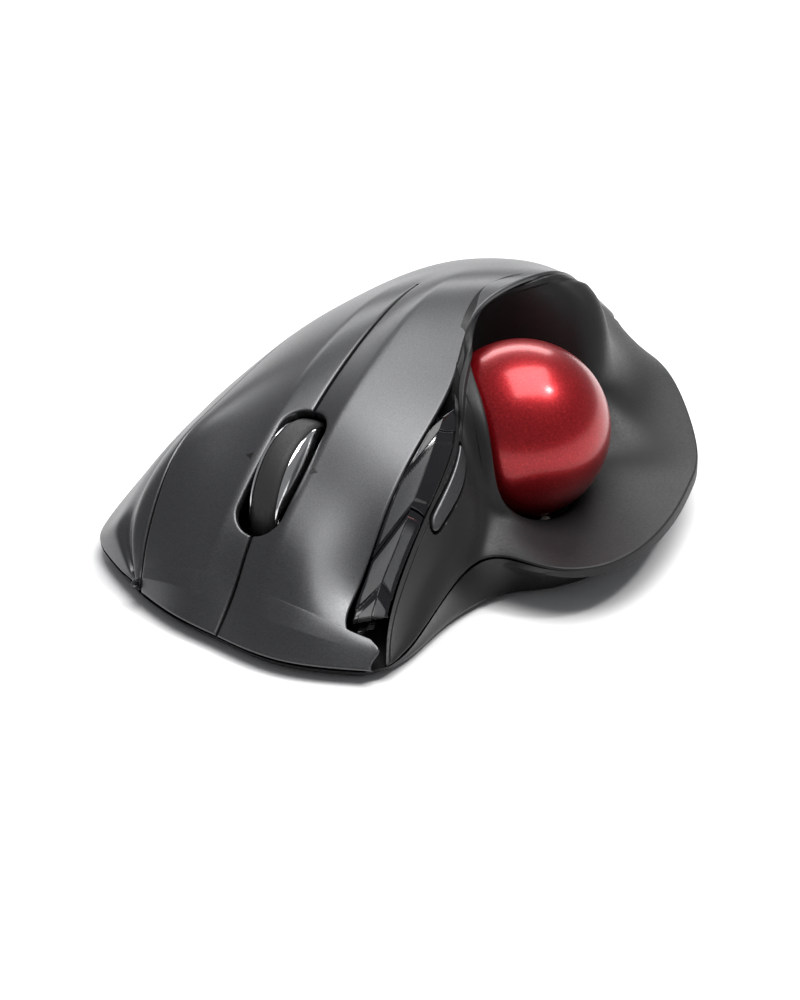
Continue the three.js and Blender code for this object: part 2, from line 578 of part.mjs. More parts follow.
function makeBallSeat() {
  const seat = [[4.2, FLOOR_HIGH + 0.3], [12.4, FLOOR_HIGH + 0.3], [12.4, 6.3], [10.6, 6.9]];
  for (let k = 0; k <= 4; k++) {
    const tilt = lerp(0.55, 0.235, k / 4);
    seat.push([18.1 * Math.sin(tilt), BALL_CENTRE[2] - 18.1 * Math.cos(tilt)]);
  }
  seat.push(seat[0]);
  const ring = turned(seat, 28).rotateX(Math.PI / 2).translate(BALL_CENTRE[0], BALL_CENTRE[1], 0);
  placeSolid("ball_seat", cut(solidOf(ring), ...[0, 1, 2].map((k) => bead(k, BEAD_RADIUS + 0.3))), "dark");
  for (const k of [0, 1, 2]) {
    place(`support_bead_${k + 1}`, geometryFrom(solidOf(bead(k, BEAD_RADIUS))), "white");
  }
  const spot = (z) => [BALL_CENTRE[0], BALL_CENTRE[1], z];
  place("ball_sensor", box([4.6, 4.6, 0.6], spot(3.2)), "dark");
  place("sensor_lens", geometryFrom(solidOf(rod(2.6, 0.5, spot(4.1), "z", 16))), "clear");
}

// ---- battery, its contacts and door, power switch and stowed receiver ----
function makePower() {
  const [x, y, z] = BATTERY_CENTRE;
  const cell = rod(BATTERY_RADIUS, BATTERY_LENGTH - 1.2, [x, y - 0.6, z], "y", 24);
  const nub = rod(2.6, 2.4, [x, y + BATTERY_LENGTH / 2 - 1.2, z], "y", 16);
  placeSolid("battery", join(cell, nub), "cell");
  place("battery_contact", box([9, 0.5, 8], [x, y + BATTERY_LENGTH / 2 + 0.6, z - 1]), "steel");
  const coil = turned([[2.6, 0], [3.6, 0], [3.6, 3], [2.6, 3], [2.6, 0]], 16);
  place("battery_spring", geometryFrom(solidOf(coil.translate(x, y - BATTERY_LENGTH / 2 - 3.4, z))), "steel");
  const doorSize = [DOOR_SIZE[0] - 0.6, DOOR_SIZE[1] - 0.6, FLOOR_HIGH - FLOOR_LOW];
  place("battery_door", box(doorSize, [x, y, 1.8]), "dark");
  place("power_switch_body", box([9.6, 5.4, 3], [...POWER_HOLE, 4.5]), "dark");
  place("power_slider", box([3.4, 3.6, 1.6], [POWER_HOLE[0] - 2, POWER_HOLE[1], 1.7]), "matte");
}

function makeReceiver() {
  const [wide, high, long] = RECEIVER_PLUG;
  const [x, y] = RECEIVER_BAY;
  const z = 1.3 + high / 2;
  const plugY = y + RECEIVER_LENGTH / 2 - long / 2;
  const hollow = box([wide - 0.9, long, high - 0.9], [x, plugY + 1, z]);
  const window = (side) => box([2.4, 2.4, 8], [x + side * 2.6, plugY + 1.5, z]);
  const sleeve = solidOf(box([wide, long, high], [x, plugY, z]));
  placeSolid("receiver_shell", cut(sleeve, hollow, window(1), window(-1)), "chrome");
  place("receiver_tongue", box([wide - 1.6, long - 2, 1.4], [x, plugY + 0.6, z - 0.9]), "dark");
  const capSize = [14.2, RECEIVER_LENGTH - long - 0.4, 5.2];
  place("receiver_cap", box(capSize, [x, y - long / 2 - 0.2, 1.3 + 2.6]), "matte");
}

makeCover();
makeThumbShell();
makeInset();
makeBottomCase();
makeFeet();
makeWheel();
makeCarrier();
makeElectronics();
makeBallSeat();
makePower();
makeReceiver();
place("ball", geometryFrom(solidOf(ballShape(BALL_RADIUS, 28, 16))), "red");

export default group;
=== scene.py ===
import math

import bmesh
import bpy
import numpy as np
from mathutils import Matrix, Vector

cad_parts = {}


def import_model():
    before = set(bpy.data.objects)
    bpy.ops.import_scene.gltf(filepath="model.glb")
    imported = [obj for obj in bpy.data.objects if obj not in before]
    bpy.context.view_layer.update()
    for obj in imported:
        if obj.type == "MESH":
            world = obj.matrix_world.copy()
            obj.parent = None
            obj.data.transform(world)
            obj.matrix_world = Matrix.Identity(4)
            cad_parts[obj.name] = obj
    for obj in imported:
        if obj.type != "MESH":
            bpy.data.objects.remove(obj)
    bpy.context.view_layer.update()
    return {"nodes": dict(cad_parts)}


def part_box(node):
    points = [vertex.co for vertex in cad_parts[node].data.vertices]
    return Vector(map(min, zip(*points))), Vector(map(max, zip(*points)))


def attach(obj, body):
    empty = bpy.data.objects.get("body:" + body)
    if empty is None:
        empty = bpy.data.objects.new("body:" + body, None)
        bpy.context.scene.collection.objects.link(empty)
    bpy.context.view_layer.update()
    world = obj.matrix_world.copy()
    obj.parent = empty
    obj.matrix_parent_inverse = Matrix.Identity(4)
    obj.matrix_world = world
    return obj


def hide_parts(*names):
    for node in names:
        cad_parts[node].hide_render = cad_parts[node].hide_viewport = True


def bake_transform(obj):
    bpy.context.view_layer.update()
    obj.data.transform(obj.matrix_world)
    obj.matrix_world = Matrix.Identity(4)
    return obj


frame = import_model()

# ---- driving dimensions, in millimetres ----
MM = 0.001
SKIN = 2.0
RIDGE_X = 6.2
RIDGE_RISE = 1.4
BROW_ROW = 9.45
BROW_RISE = 0.7
FLUTE_DEPTH = 1.3
BALL_RADIUS = 17.5
BALL_CENTRE = np.array([-29.7, -11.6, 22.3])
WHEEL_CENTRE = np.array([0, 24.2, 18.1])
WHEEL_RADIUS = 14.2
TYRE_HALF_WIDTH = 2.5
HUB_HALF_WIDTH = 4.7
SLOT_CENTRE = np.array([0, 30, 25.5])
SLOT_SLOPE = 0.54
SLOT_HALF_WIDTH = 4.9
SLOT_HALF_LENGTH = 14.2
FLEX_ROW = 3.75
CORNER_ROW = 9.02
CORNER_REACH = 0.45
BUTTON_COLUMN = 2.0
SEAM_HALF = 0.2
EDGE_ROUND = 0.45
BALL_CLEARANCE = 0.8
SOCKET_DEPTH = 9

ball_low, ball_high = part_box("ball")
SHIFT = np.array((ball_low + ball_high) / 2) / MM - BALL_CENTRE

# the cover: rows run rear to front, points run right to left
COVER = [
    [[-10, -86, 5]] * 7,
    [[7, -84, 4.5], [7, -81, 12], [3, -79.5, 17], [-2, -78, 19.5], [-7.5, -77.5, 20], [-13, -77.8, 18],
     [-18.5, -79.5, 13]],
    [[25, -72, 4.2], [24.5, -67, 14.5], [18.5, -64, 22], [9, -61.5, 28], [-1.5, -61, 31], [-11.5, -61.5, 31],
     [-20.5, -62.5, 26.5]],
    [[35, -50, 4], [34, -46, 13.5], [25.5, -43, 23], [13, -41, 31.6], [0, -40, 37.8], [-11, -40, 40.6],
     [-22.5, -41, 41.8]],
    [[40, -22, 3.8], [36, -20, 14], [26.5, -20, 24.8], [14, -20, 33.8], [0, -20, 41.1], [-9, -20, 42.6],
     [-17, -20, 42]],
    [[43, 3, 3.6], [35.6, 4, 14.8], [24.4, 4, 26.3], [13, 2, 33.3], [0, 0, 38.6], [-11.5, 0, 38.5],
     [-21.2, 0, 36.8]],
    [[42.3, 18, 3.5], [35, 19, 12.8], [24.1, 17, 25.8], [13, 18, 29.8], [0, 18, 32.4], [-12, 18, 32.8],
     [-23, 19, 31]],
    [[40, 31, 3.5], [32.5, 33, 11.5], [24, 30, 22.9], [12.8, 31, 24.3], [0, 31, 24.9], [-12, 31.5, 24.8],
     [-23, 32.5, 22.3]],
    [[36, 38.5, 3.5], [29.8, 41, 9.5], [23, 41.5, 13.4], [12.5, 42, 16.2], [0, 42, 17.6], [-13, 42.5, 17.3],
     [-23.2, 42, 12.6]],
    [[27.5, 45, 3.6], [24.5, 46.2, 5.4], [21.6, 47, 6.8], [12, 48.5, 10.2], [0, 48.5, 9.8], [-14, 50.5, 10.5],
     [-24.8, 49.6, 8.6]],
    [[20.7, 49.4, 3.4], [20.7, 49.4, 3.4], [20.7, 49.4, 3.4], [11, 53.5, 3.3], [0, 56, 3.3], [-15, 58, 3.3],
     [-32, 53, 3.3]],
]

# the thumb shell: rows run rear to front, points run from the lip out to the wing's rim
THUMB = [
    [[-10, -86, 5]] * 6,
    [[-18.5, -79.5, 13], [-20, -79, 11.6], [-21.5, -78.8, 10.4], [-23, -78.7, 9.2], [-24.2, -78.8, 8],
     [-24.8, -79.2, 7]],
    [[-20.5, -62.5, 26.5], [-22.5, -62, 22.5], [-25, -62, 18.5], [-29, -62.5, 15], [-34, -63, 12.5],
     [-40, -63, 11]],
    [[-22.5, -41, 41.8], [-28.5, -42, 36.4], [-32, -41, 28], [-34, -40, 20], [-42, -40, 13.5],
     [-55, -40.5, 11.2]],
    [[-17, -28, 42.7], [-14.5, -30, 34.3], [-15, -31, 24], [-20, -30, 15], [-40, -29, 10], [-60, -26, 11.2]],
    [[-17.3, -16, 41.6], [-15, -14.8, 35.5], [-11, -14, 24], [-16, -12, 11], [-45, -13, 9.3],
     [-62.3, -10, 11.2]],
    [[-21.2, 0, 36.8], [-28, 2, 34.8], [-31.3, 5.2, 25.5], [-34.5, 4.2, 14.5], [-47, 1, 9.8],
     [-60, 7.5, 11.2]],
    [[-24.6, 6, 33.6], [-28.7, 8.2, 28.8], [-31.7, 9.4, 22.5], [-34.7, 9.8, 16], [-41, 11, 12.6],
     [-50, 16.3, 11.2]],
    [[-27.5, 13.5, 28.4], [-31, 15.5, 22.5], [-33.5, 16.5, 17.5], [-35, 17, 14], [-36.5, 17.3, 12],
     [-38.5, 17.3, 10.8]],
    [[-28.5, 28, 20], [-31, 28.5, 17], [-33, 28.8, 14.5],
     [-34.2, 29, 12.3], [-35, 29, 10.4], [-35.4, 29, 8.6]],
    [[-29.5, 41.5, 9.8], [-31, 42, 8.6], [-32.3, 42.2, 7.5], [-33.4, 42.3, 6.4], [-34.2, 42.4, 5.3],
     [-34.8, 42.4, 4.3]],
    [[-33.3, 50.6, 3.4]] * 6,
]


# ---- camera, at the photograph's viewing angle ----
def make_camera():
    lens = bpy.data.cameras.new("camera")
    lens.sensor_width = 36
    lens.lens = 133.56
    lens.clip_start = 0.05
    camera = bpy.data.objects.new("camera", lens)
    bpy.context.scene.collection.objects.link(camera)
    right = Vector((-0.8829, -0.4695, 0)).normalized()
    forward = Vector((0.4066, -0.7647, -0.5)).normalized()
    up = right.cross(forward).normalized()
    turn = Matrix((right, up, -forward)).transposed().to_4x4()
    eye = Vector((-305.5, 557.2, 370.9)) + Vector(SHIFT)
    camera.matrix_world = Matrix.Translation(eye * MM) @ turn
    bpy.context.scene.camera = camera
    return camera


# ---- splines and sheets ----
def smooth(low, high, value):
    t = np.clip((value - low) / (high - low), 0, 1)
    return t * t * (3 - 2 * t)


def knot_weights(count, t):
    """Weights of a natural cubic spline's knots at each parameter in t."""
    system, pull = np.eye(count), np.zeros((count, count))
    for i in range(1, count - 1):
        system[i, i - 1 : i + 2] = [1, 4, 1]
        pull[i, i - 1 : i + 2] = [6, -12, 6]
    bend = np.linalg.solve(system, pull)
    i = np.clip(np.floor(t), 0, count - 2).astype(int)
    b = (t - i)[:, None]
    a = 1 - b
    knots = np.eye(count)
    return a * knots[i] + b * knots[i + 1] + ((a**3 - a) * bend[i] + (b**3 - b) * bend[i + 1]) / 6


class Sheet:
    """A smooth sheet through a net of points. u runs along the rows and v across them."""

    def __init__(self, net, shape=None):
        self.net = np.array(net, float)
        self.shape = shape

    def at(self, u, v):
        u, v = np.broadcast_arrays(np.asarray(u, float), np.asarray(v, float))
        across = knot_weights(self.net.shape[0], u.ravel())
        along = knot_weights(self.net.shape[1], v.ravel())
        points = np.einsum("pi,pj,ijk->pk", across, along, self.net, optimize=True)
        if self.shape:
            points = self.shape(points, u.ravel(), v.ravel())
        return points.reshape(*u.shape, 3)

    def normal(self, u, v):
        step = 0.02
        u = np.clip(u, 0.12, self.net.shape[0] - 1.12)
        v = np.clip(v, step, self.net.shape[1] - 1 - step)
        along = self.at(u + step, v) - self.at(u - step, v)
        across = self.at(u, v + step) - self.at(u, v - step)
        out = np.cross(along, across)
        return out / np.maximum(np.linalg.norm(out, axis=-1, keepdims=True), 1e-9)


def creased(points, u, v):
    """Ridges beside the centre seam, a brow before each finger dish, and a flute down the right flank."""
    beside = np.abs(points[:, 0])
    reach = beside / RIDGE_X
    ridge = np.minimum(reach, np.exp(-(reach - 1) / 1.5)) * smooth(2.9, 4.6, u) * (1 - smooth(9.0, 9.9, u))
    in_dish = smooth(5.5, 8.5, beside) * (1 - smooth(5.0, 5.9, v))
    brow = np.clip(1 - np.abs(u - BROW_ROW) / 0.45, 0, None) * in_dish
    flute = np.exp(-(((v - 1.2) / 0.22) ** 2)) * smooth(4.6, 6.5, u) * (1 - smooth(8.8, 9.6, u))
    points = points + (FLUTE_DEPTH * flute)[:, None] * [-0.7, -0.25, -0.65]
    points[:, 2] += RIDGE_RISE * ridge + BROW_RISE * brow
    return points


cover = Sheet(COVER, creased)
thumb = Sheet(THUMB)


# ---- meshes ----
def finish_mesh(name, mesh, materials, body=None, replaces=(), sharp=38):
    mesh.shade_smooth()
    mesh.set_sharp_from_angle(angle=math.radians(sharp))
    mesh.materials.clear()
    for item in materials:
        mesh.materials.append(item)
    mesh.polygons.foreach_set("material_index", np.zeros(len(mesh.polygons), np.int32))
    piece = bpy.data.objects.new(name, mesh)
    bpy.context.scene.collection.objects.link(piece)
    if body:
        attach(piece, body)
    if replaces:
        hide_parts(*replaces)
    return piece


def mesh_from(name, points, faces, fields=None):
    mesh = bpy.data.meshes.new(name)
    mesh.from_pydata(((points + SHIFT) * MM).tolist(), [], faces)
    for field, values in (fields or {}).items():
        mesh.attributes.new(field, "FLOAT", "POINT").data.foreach_set("value", values.astype(np.float32))
    mesh.validate()
    mesh.update()
    return mesh


def shell_mesh(name, outer, inner, keep=None, fields=None):
    """One closed solid between two matching grids, without the cells that keep leaves out."""
    rows, columns = outer.shape[:2]
    if keep is None:
        keep = np.ones((rows - 1, columns - 1), bool)
    top = np.arange(rows * columns).reshape(rows, columns)
    depth = rows * columns
    a, b, c, d = top[:-1, :-1], top[:-1, 1:], top[1:, 1:], top[1:, :-1]
    quads = [np.stack([a, d, c, b], -1)[keep], np.stack([a, b, c, d], -1)[keep] + depth]
    padded = np.pad(keep, 1)
    sides = [
        (padded[:-2, 1:-1], a, b),
        (padded[1:-1, 2:], b, c),
        (padded[2:, 1:-1], c, d),
        (padded[1:-1, :-2], d, a),
    ]
    for neighbour, start, end in sides:
        edge = keep & ~neighbour
        p, q = start[edge], end[edge]
        quads.append(np.stack([p, q, q + depth, p + depth], -1))
    faces = np.concatenate(quads)
    used, packed = np.unique(faces, return_inverse=True)
    points = np.concatenate([outer.reshape(-1, 3), inner.reshape(-1, 3)])[used]
    kept = {key: np.concatenate([value.ravel()] * 2)[used] for key, value in (fields or {}).items()}
    return mesh_from(name, points, packed.reshape(-1, 4).tolist(), kept)


FINE_STEPS = [0, 0.03, 0.08, 0.16, 0.27, 0.42, 0.65, 1.0]


def graded(low, high, length, pitch):
    """Parameters from low to high, close together at both ends of a stretch of that length."""
    fine = [step for step in FINE_STEPS if step < length / 3]
    count = max(int(round((length - 2 * fine[-1]) / pitch)), 1)
    middle = np.linspace(fine[-1], length - fine[-1], count + 1)[1:-1]
    places = np.concatenate([fine, middle, length - np.array(fine[::-1])])
    return low + (high - low) * places / length


def stations(knots, lengths, pitch):
    runs = [graded(a, b, n, pitch) for a, b, n in zip(knots[:-1], knots[1:], lengths)]
    return np.unique(np.concatenate(runs).round(9))


def arcs(points, axis):
    """Distances along a grid's lines from its first and from its last point."""
    legs = np.linalg.norm(np.diff(points, axis=axis), axis=2)
    zero = np.zeros_like(np.take(legs, [0], axis=axis))
    along = np.concatenate([zero, np.cumsum(legs, axis=axis)], axis=axis)
    return along, np.take(along, [-1], axis=axis) - along


def round_off(distance, radius):
    """How far a rounded border drops at each distance from the edge."""
    return radius - np.sqrt(radius**2 - np.clip(radius - distance, 0, radius) ** 2)


def speed(sheet, u, v, du, dv):
    return np.maximum(np.linalg.norm(sheet.at(u + du, v + dv) - sheet.at(u, v), axis=-1) / abs(du + dv), 0.01)


def drawn_in(places, low, high, gap_low, gap_high):
    """Values from low to high at places from 0 to 1, with both ends drawn in by a gap."""
    reach = 0.08
    near_low = np.clip(1 - places / reach, 0, 1)
    near_high = np.clip(1 - (1 - places) / reach, 0, 1)
    return low + (high - low) * places + gap_low * near_low - gap_high * near_high


def lay_out(sheet, us, vs, u_ends, v_ends, gaps):
    """Grids of u and v. us and vs run from 0 to 1, an end of v may vary with u, and gaps are in mm."""
    step = 0.01
    row_u = (u_ends[0] + (u_ends[1] - u_ends[0]) * us)[:, None]
    v_low, v_high = [end(row_u) if callable(end) else np.full_like(row_u, end) for end in v_ends]
    span = v_high - v_low
    gap_low = np.minimum(gaps[2] / speed(sheet, row_u, v_low, 0, step), span * 0.3)
    gap_high = np.minimum(gaps[3] / speed(sheet, row_u, v_high - step, 0, step), span * 0.3)
    v = drawn_in(vs[None, :], v_low, v_high, gap_low, gap_high)
    first, last = np.full_like(v, u_ends[0]), np.full_like(v, u_ends[1])
    span = u_ends[1] - u_ends[0]
    gap_low = np.minimum(gaps[0] / speed(sheet, first, v, step, 0), span * 0.06)
    gap_high = np.minimum(gaps[1] / speed(sheet, last - step, v, step, 0), span * 0.06)
    return drawn_in(us[:, None], u_ends[0], u_ends[1], gap_low, gap_high), v


def skin(sheet, u, v, drop, thick=SKIN, lift=0.0):
    """Outer and inner grids of a panel whose surface drops below the sheet."""
    points, normals = sheet.at(u, v), sheet.normal(u, v)
    deep = np.broadcast_to(lift - thick, u.shape)
    return points + normals * (lift - drop)[..., None], points + normals * deep[..., None]


def lip_thickness(to_lip):
    """The cover thins towards the lip, where the thumb shell's bead comes up beside it."""
    return 0.9 + (SKIN - 0.9) * smooth(0.3, 3.0, to_lip)


# ---- materials ----
class Nodes:
    """A material's node tree, with its principled shader and an object-space noise to hand."""

    def __init__(self, name):
        self.material = bpy.data.materials.new(name)
        self.material.use_nodes = True
        self.tree = self.material.node_tree
        self.shader = self.tree.nodes["Principled BSDF"]
        self.place = self.add("ShaderNodeTexCoord").outputs["Object"]

    def add(self, kind, **settings):
        node = self.tree.nodes.new(kind)
        for key, value in settings.items():
            setattr(node, key, value)
        return node

    def link(self, source, target):
        self.tree.links.new(source, target)

    def set(self, **values):
        for key, value in values.items():
            self.shader.inputs[key.replace("_", " ")].default_value = value

    def noise(self, scale, detail=2.0, stretch=None):
        texture = self.add("ShaderNodeTexNoise")
        texture.inputs["Scale"].default_value = scale
        texture.inputs["Detail"].default_value = detail
        source = self.place
        if stretch:
            mapping = self.add("ShaderNodeMapping")
            mapping.inputs["Scale"].default_value = stretch
            self.link(source, mapping.inputs["Vector"])
            source = mapping.outputs["Vector"]
        self.link(source, texture.inputs["Vector"])
        return texture.outputs["Fac"]

    def ramp(self, source, stops):
        node = self.add("ShaderNodeValToRGB")
        elements = node.color_ramp.elements
        while len(elements) < len(stops):
            elements.new(0.5)
        for element, (position, colour) in zip(elements, stops):
            element.position = position
            element.color = (*colour, 1)
        self.link(source, node.inputs["Fac"])
        return node.outputs["Color"]

    def grey_ramp(self, source, low, high, start=0.3, end=0.7):
        return self.ramp(source, [(start, (low,) * 3), (end, (high,) * 3)])

    def field(self, name):
        return self.add("ShaderNodeAttribute", attribute_name=name).outputs["Fac"]

    def mix(self, factor, first, second):
        node = self.add("ShaderNodeMix", data_type="RGBA")
        self.link(factor, node.inputs["Factor"])
        self.link(first, node.inputs["A"])
        self.link(second, node.inputs["B"])
        return node.outputs["Result"]

    def bump(self, height, strength, distance):
        node = self.add("ShaderNodeBump")
        node.inputs["Strength"].default_value = strength
        node.inputs["Distance"].default_value = distance
        self.link(height, node.inputs["Height"])
        self.link(node.outputs["Normal"], self.shader.inputs["Normal"])


def plastic(name, colour, spread, rough, grain=900, bump=0.15, **values):
    """Moulded plastic: a faint mottle in its colour and a fine grain in its gloss and its surface."""
    n = Nodes(name)
    low = tuple(c * (1 - spread) for c in colour)
    high = tuple(c * (1 + spread) for c in colour)
    n.link(n.ramp(n.noise(60), [(0.3, low), (0.7, high)]), n.shader.inputs["Base Color"])
    fine = n.noise(grain, 3)
    n.link(n.grey_ramp(fine, rough * 0.85, min(rough * 1.15, 1)), n.shader.inputs["Roughness"])
    n.bump(fine, bump, 0.00005)
    n.set(**values)
    return n.material


def satin_paint():
    """Dark grey lacquer with fine metal flake under a thin satin coat."""
    n = Nodes("satin_paint")
    flake = n.noise(5200, 1)
    body = n.ramp(flake, [(0.35, (0.078, 0.079, 0.081)), (0.68, (0.104, 0.105, 0.108))])
    n.link(body, n.shader.inputs["Base Color"])
    n.link(n.grey_ramp(n.noise(2600, 2), 0.34, 0.42), n.shader.inputs["Roughness"])
    n.bump(flake, 0.08, 0.00003)
    n.set(Metallic=0.85, Coat_Weight=0.15, Coat_Roughness=0.25)
    return n.material


def inset_plastic():
    """Piano black with matte grey facets, where the mesh's facet field is one."""
    n = Nodes("inset_plastic")
    facet = n.field("facet")
    black = n.ramp(n.noise(80), [(0.3, (0.006, 0.006, 0.007)), (0.7, (0.010, 0.010, 0.011))])
    grain = n.noise(3000, 2)
    grey = n.ramp(grain, [(0.3, (0.034, 0.035, 0.036)), (0.7, (0.048, 0.049, 0.050))])
    n.link(n.mix(facet, black, grey), n.shader.inputs["Base Color"])
    gloss = n.grey_ramp(n.noise(150), 0.06, 0.10)
    matte = n.grey_ramp(grain, 0.40, 0.50)
    n.link(n.mix(facet, gloss, matte), n.shader.inputs["Roughness"])
    return n.material


def pearl_red():
    """Translucent red over a pearl layer, under clear gloss."""
    n = Nodes("pearl_red")
    flake = n.noise(2600, 1)
    reds = [(0.30, (0.27, 0.002, 0.006)), (0.62, (0.38, 0.006, 0.011)), (0.80, (0.47, 0.02, 0.022))]
    n.link(n.ramp(flake, reds), n.shader.inputs["Base Color"])
    n.link(n.grey_ramp(n.noise(1800, 2), 0.30, 0.38), n.shader.inputs["Roughness"])
    n.set(Metallic=0.72, Coat_Weight=0.6, Coat_Roughness=0.16, Coat_IOR=1.45)
    return n.material


def metal(name, colour, rough, scratch=(1, 1, 1)):
    n = Nodes(name)
    low = tuple(c * 0.93 for c in colour)
    n.link(n.ramp(n.noise(400), [(0.3, low), (0.7, colour)]), n.shader.inputs["Base Color"])
    lines = n.noise(900, 2, scratch)
    n.link(n.grey_ramp(lines, rough * 0.8, rough * 1.25), n.shader.inputs["Roughness"])
    n.bump(lines, 0.05, 0.00002)
    n.set(Metallic=1.0)
    return n.material


def circuit_board():
    n = Nodes("circuit_board")
    traces = n.add("ShaderNodeTexBrick")
    traces.inputs["Scale"].default_value = 260
    traces.inputs["Mortar Size"].default_value = 0.03
    traces.inputs["Color1"].default_value = (0.012, 0.075, 0.030, 1)
    traces.inputs["Color2"].default_value = (0.016, 0.095, 0.038, 1)
    traces.inputs["Mortar"].default_value = (0.030, 0.150, 0.060, 1)
    n.link(n.place, traces.inputs["Vector"])
    n.link(traces.outputs["Color"], n.shader.inputs["Base Color"])
    n.link(n.grey_ramp(n.noise(500), 0.35, 0.5), n.shader.inputs["Roughness"])
    return n.material


def cell_wrap():
    """A dry cell's printed film: a pale band over a green body, without lettering."""
    n = Nodes("cell_wrap")
    split = n.add("ShaderNodeSeparateXYZ")
    n.link(n.place, split.inputs["Vector"])
    rear = (BALL_CENTRE[1] + SHIFT[1]) * MM
    band = n.add("ShaderNodeMapRange")
    band.inputs["From Min"].default_value = rear - 0.034
    band.inputs["From Max"].default_value = rear - 0.0335
    n.link(split.outputs["Y"], band.inputs["Value"])
    green = n.ramp(n.noise(90), [(0.3, (0.045, 0.13, 0.06)), (0.7, (0.055, 0.15, 0.07))])
    pale = n.ramp(n.noise(90), [(0.3, (0.52, 0.52, 0.48)), (0.7, (0.60, 0.60, 0.56))])
    n.link(n.mix(band.outputs["Result"], green, pale), n.shader.inputs["Base Color"])
    n.link(n.grey_ramp(n.noise(300), 0.22, 0.32), n.shader.inputs["Roughness"])
    return n.material


def clear_plastic():
    n = Nodes("clear_plastic")
    tint = n.ramp(n.noise(90), [(0.3, (0.80, 0.86, 0.90)), (0.7, (0.86, 0.91, 0.94))])
    n.link(tint, n.shader.inputs["Base Color"])
    n.link(n.grey_ramp(n.noise(300), 0.03, 0.08), n.shader.inputs["Roughness"])
    n.set(Transmission_Weight=0.9, IOR=1.49)
    return n.material


SATIN = satin_paint()
MATTE = plastic("thumb_plastic", (0.010, 0.010, 0.0105), 0.10, 0.48, 2400, 0.12, Specular_IOR_Level=0.35)
CASE = plastic("case_plastic", (0.007, 0.007, 0.0075), 0.12, 0.34, 1500, 0.12, Specular_IOR_Level=0.35)
GLOSS = inset_plastic()
RED = pearl_red()
RUBBER = plastic("tyre_rubber", (0.020, 0.020, 0.020), 0.15, 0.62, 2600, 0.35)
FOOT = plastic("foot_pad", (0.030, 0.030, 0.032), 0.15, 0.55, 1200, 0.25)
CHROME = metal("polished_metal", (0.80, 0.80, 0.81), 0.10)
STEEL = metal("plain_steel", (0.62, 0.62, 0.63), 0.30, (1, 6, 1))
BOARD = circuit_board()
BEAD = plastic("bead_ceramic", (0.78, 0.74, 0.66), 0.05, 0.12, 700, 0.03)
LENS = clear_plastic()
CELL = cell_wrap()
INNER = plastic("inner_plastic", (0.016, 0.016, 0.017), 0.15, 0.45, 900, 0.15)
CAP = plastic("receiver_plastic", (0.045, 0.046, 0.048), 0.10, 0.38, 1800, 0.15)
MARK = plastic("mark_ink", (0.006, 0.006, 0.006), 0.10, 0.35, 1500, 0.05)

CARRIED = {
    SATIN: ["palm_cover", "right_button", "left_button", "pointer_speed_button"],
    MATTE: ["thumb_shell"],
    GLOSS: ["back_button", "forward_button", "side_trim"],
    CASE: ["bottom_case", "battery_door"],
    STEEL: ["case_screw_1", "case_screw_2", "case_screw_3", "wheel_axle", "battery_contact",
            "battery_spring"],
    FOOT: ["foot_front", "foot_right", "foot_left", "foot_rear"],
    RUBBER: ["scroll_tyre"],
    CHROME: ["wheel_hub_right", "wheel_hub_left", "receiver_shell"],
    INNER: ["wheel_carrier", "wheel_cradle", "right_switch", "left_switch", "middle_switch", "wheel_encoder",
            "back_switch", "forward_switch", "ball_seat", "ball_sensor", "power_switch_body",
            "receiver_tongue"],
    BOARD: ["main_board", "side_board"],
    BEAD: ["support_bead_1", "support_bead_2", "support_bead_3"],
    LENS: ["sensor_lens"],
    CELL: ["battery"],
    CAP: ["power_slider", "receiver_cap"],
    RED: ["ball"],
}


def paint_frame():
    for material, names in CARRIED.items():
        for name in names:
            mesh = frame["nodes"][name].data
            mesh.materials.clear()
            mesh.materials.append(material)


# ---- the grey cover and its two buttons ----
def normalised(places, ends):
    return (places - ends[0]) / (ends[1] - ends[0])


def make_palm_cover():
    u_ends = (0.14, 10)
    us = normalised(stations([u_ends[0], FLEX_ROW, u_ends[1]], [60, 85], 1.2), u_ends)
    vs = normalised(stations([0, BUTTON_COLUMN, 6], [35, 48], 1.2), (0, 6))
    u, v = lay_out(cover, us, vs, u_ends, (0, 6), [0, 0.9, 0.3, 0.2])
    points = cover.at(u, v)
    from_rim, to_lip = arcs(points, 1)
    from_tail, to_front = arcs(points, 0)
    flex = int(np.argmin(abs(us - normalised(FLEX_ROW, u_ends))))
    side = int(np.argmin(abs(vs - BUTTON_COLUMN / 6)))
    beside = np.clip(from_rim[:, side : side + 1] - from_rim, 0, None)
    behind = np.clip(from_tail[flex : flex + 1] - from_tail, 0, None)
    opening = np.hypot(beside, behind)
    opening[: flex + 1, side + 1 :] = 9
    distance = np.minimum.reduce([from_rim, to_lip, to_front, opening])
    width = from_rim[:, side : side + 1]
    narrow = np.where(np.arange(len(us))[:, None] > flex, np.clip(width / 4, 0.15, 1), 1)
    outer, inner = skin(cover, u, v, narrow * round_off(distance, EDGE_ROUND), narrow * lip_thickness(to_lip))
    keep = np.ones((len(us) - 1, len(vs) - 1), bool)
    keep[flex:, side:] = False
    mesh = shell_mesh("palm_cover_skin", outer, inner, keep)
    finish_mesh("palm_cover_skin", mesh, [SATIN], "case", ["palm_cover"])


def slot_distance(points):
    """Distance from the wheel's slot, negative inside it."""
    offset = points - SLOT_CENTRE
    along = offset[..., 1] * math.cos(SLOT_SLOPE) - offset[..., 2] * math.sin(SLOT_SLOPE)
    past = np.clip(np.abs(along) - (SLOT_HALF_LENGTH - SLOT_HALF_WIDTH), 0, None)
    return np.hypot(points[..., 0], past) - SLOT_HALF_WIDTH


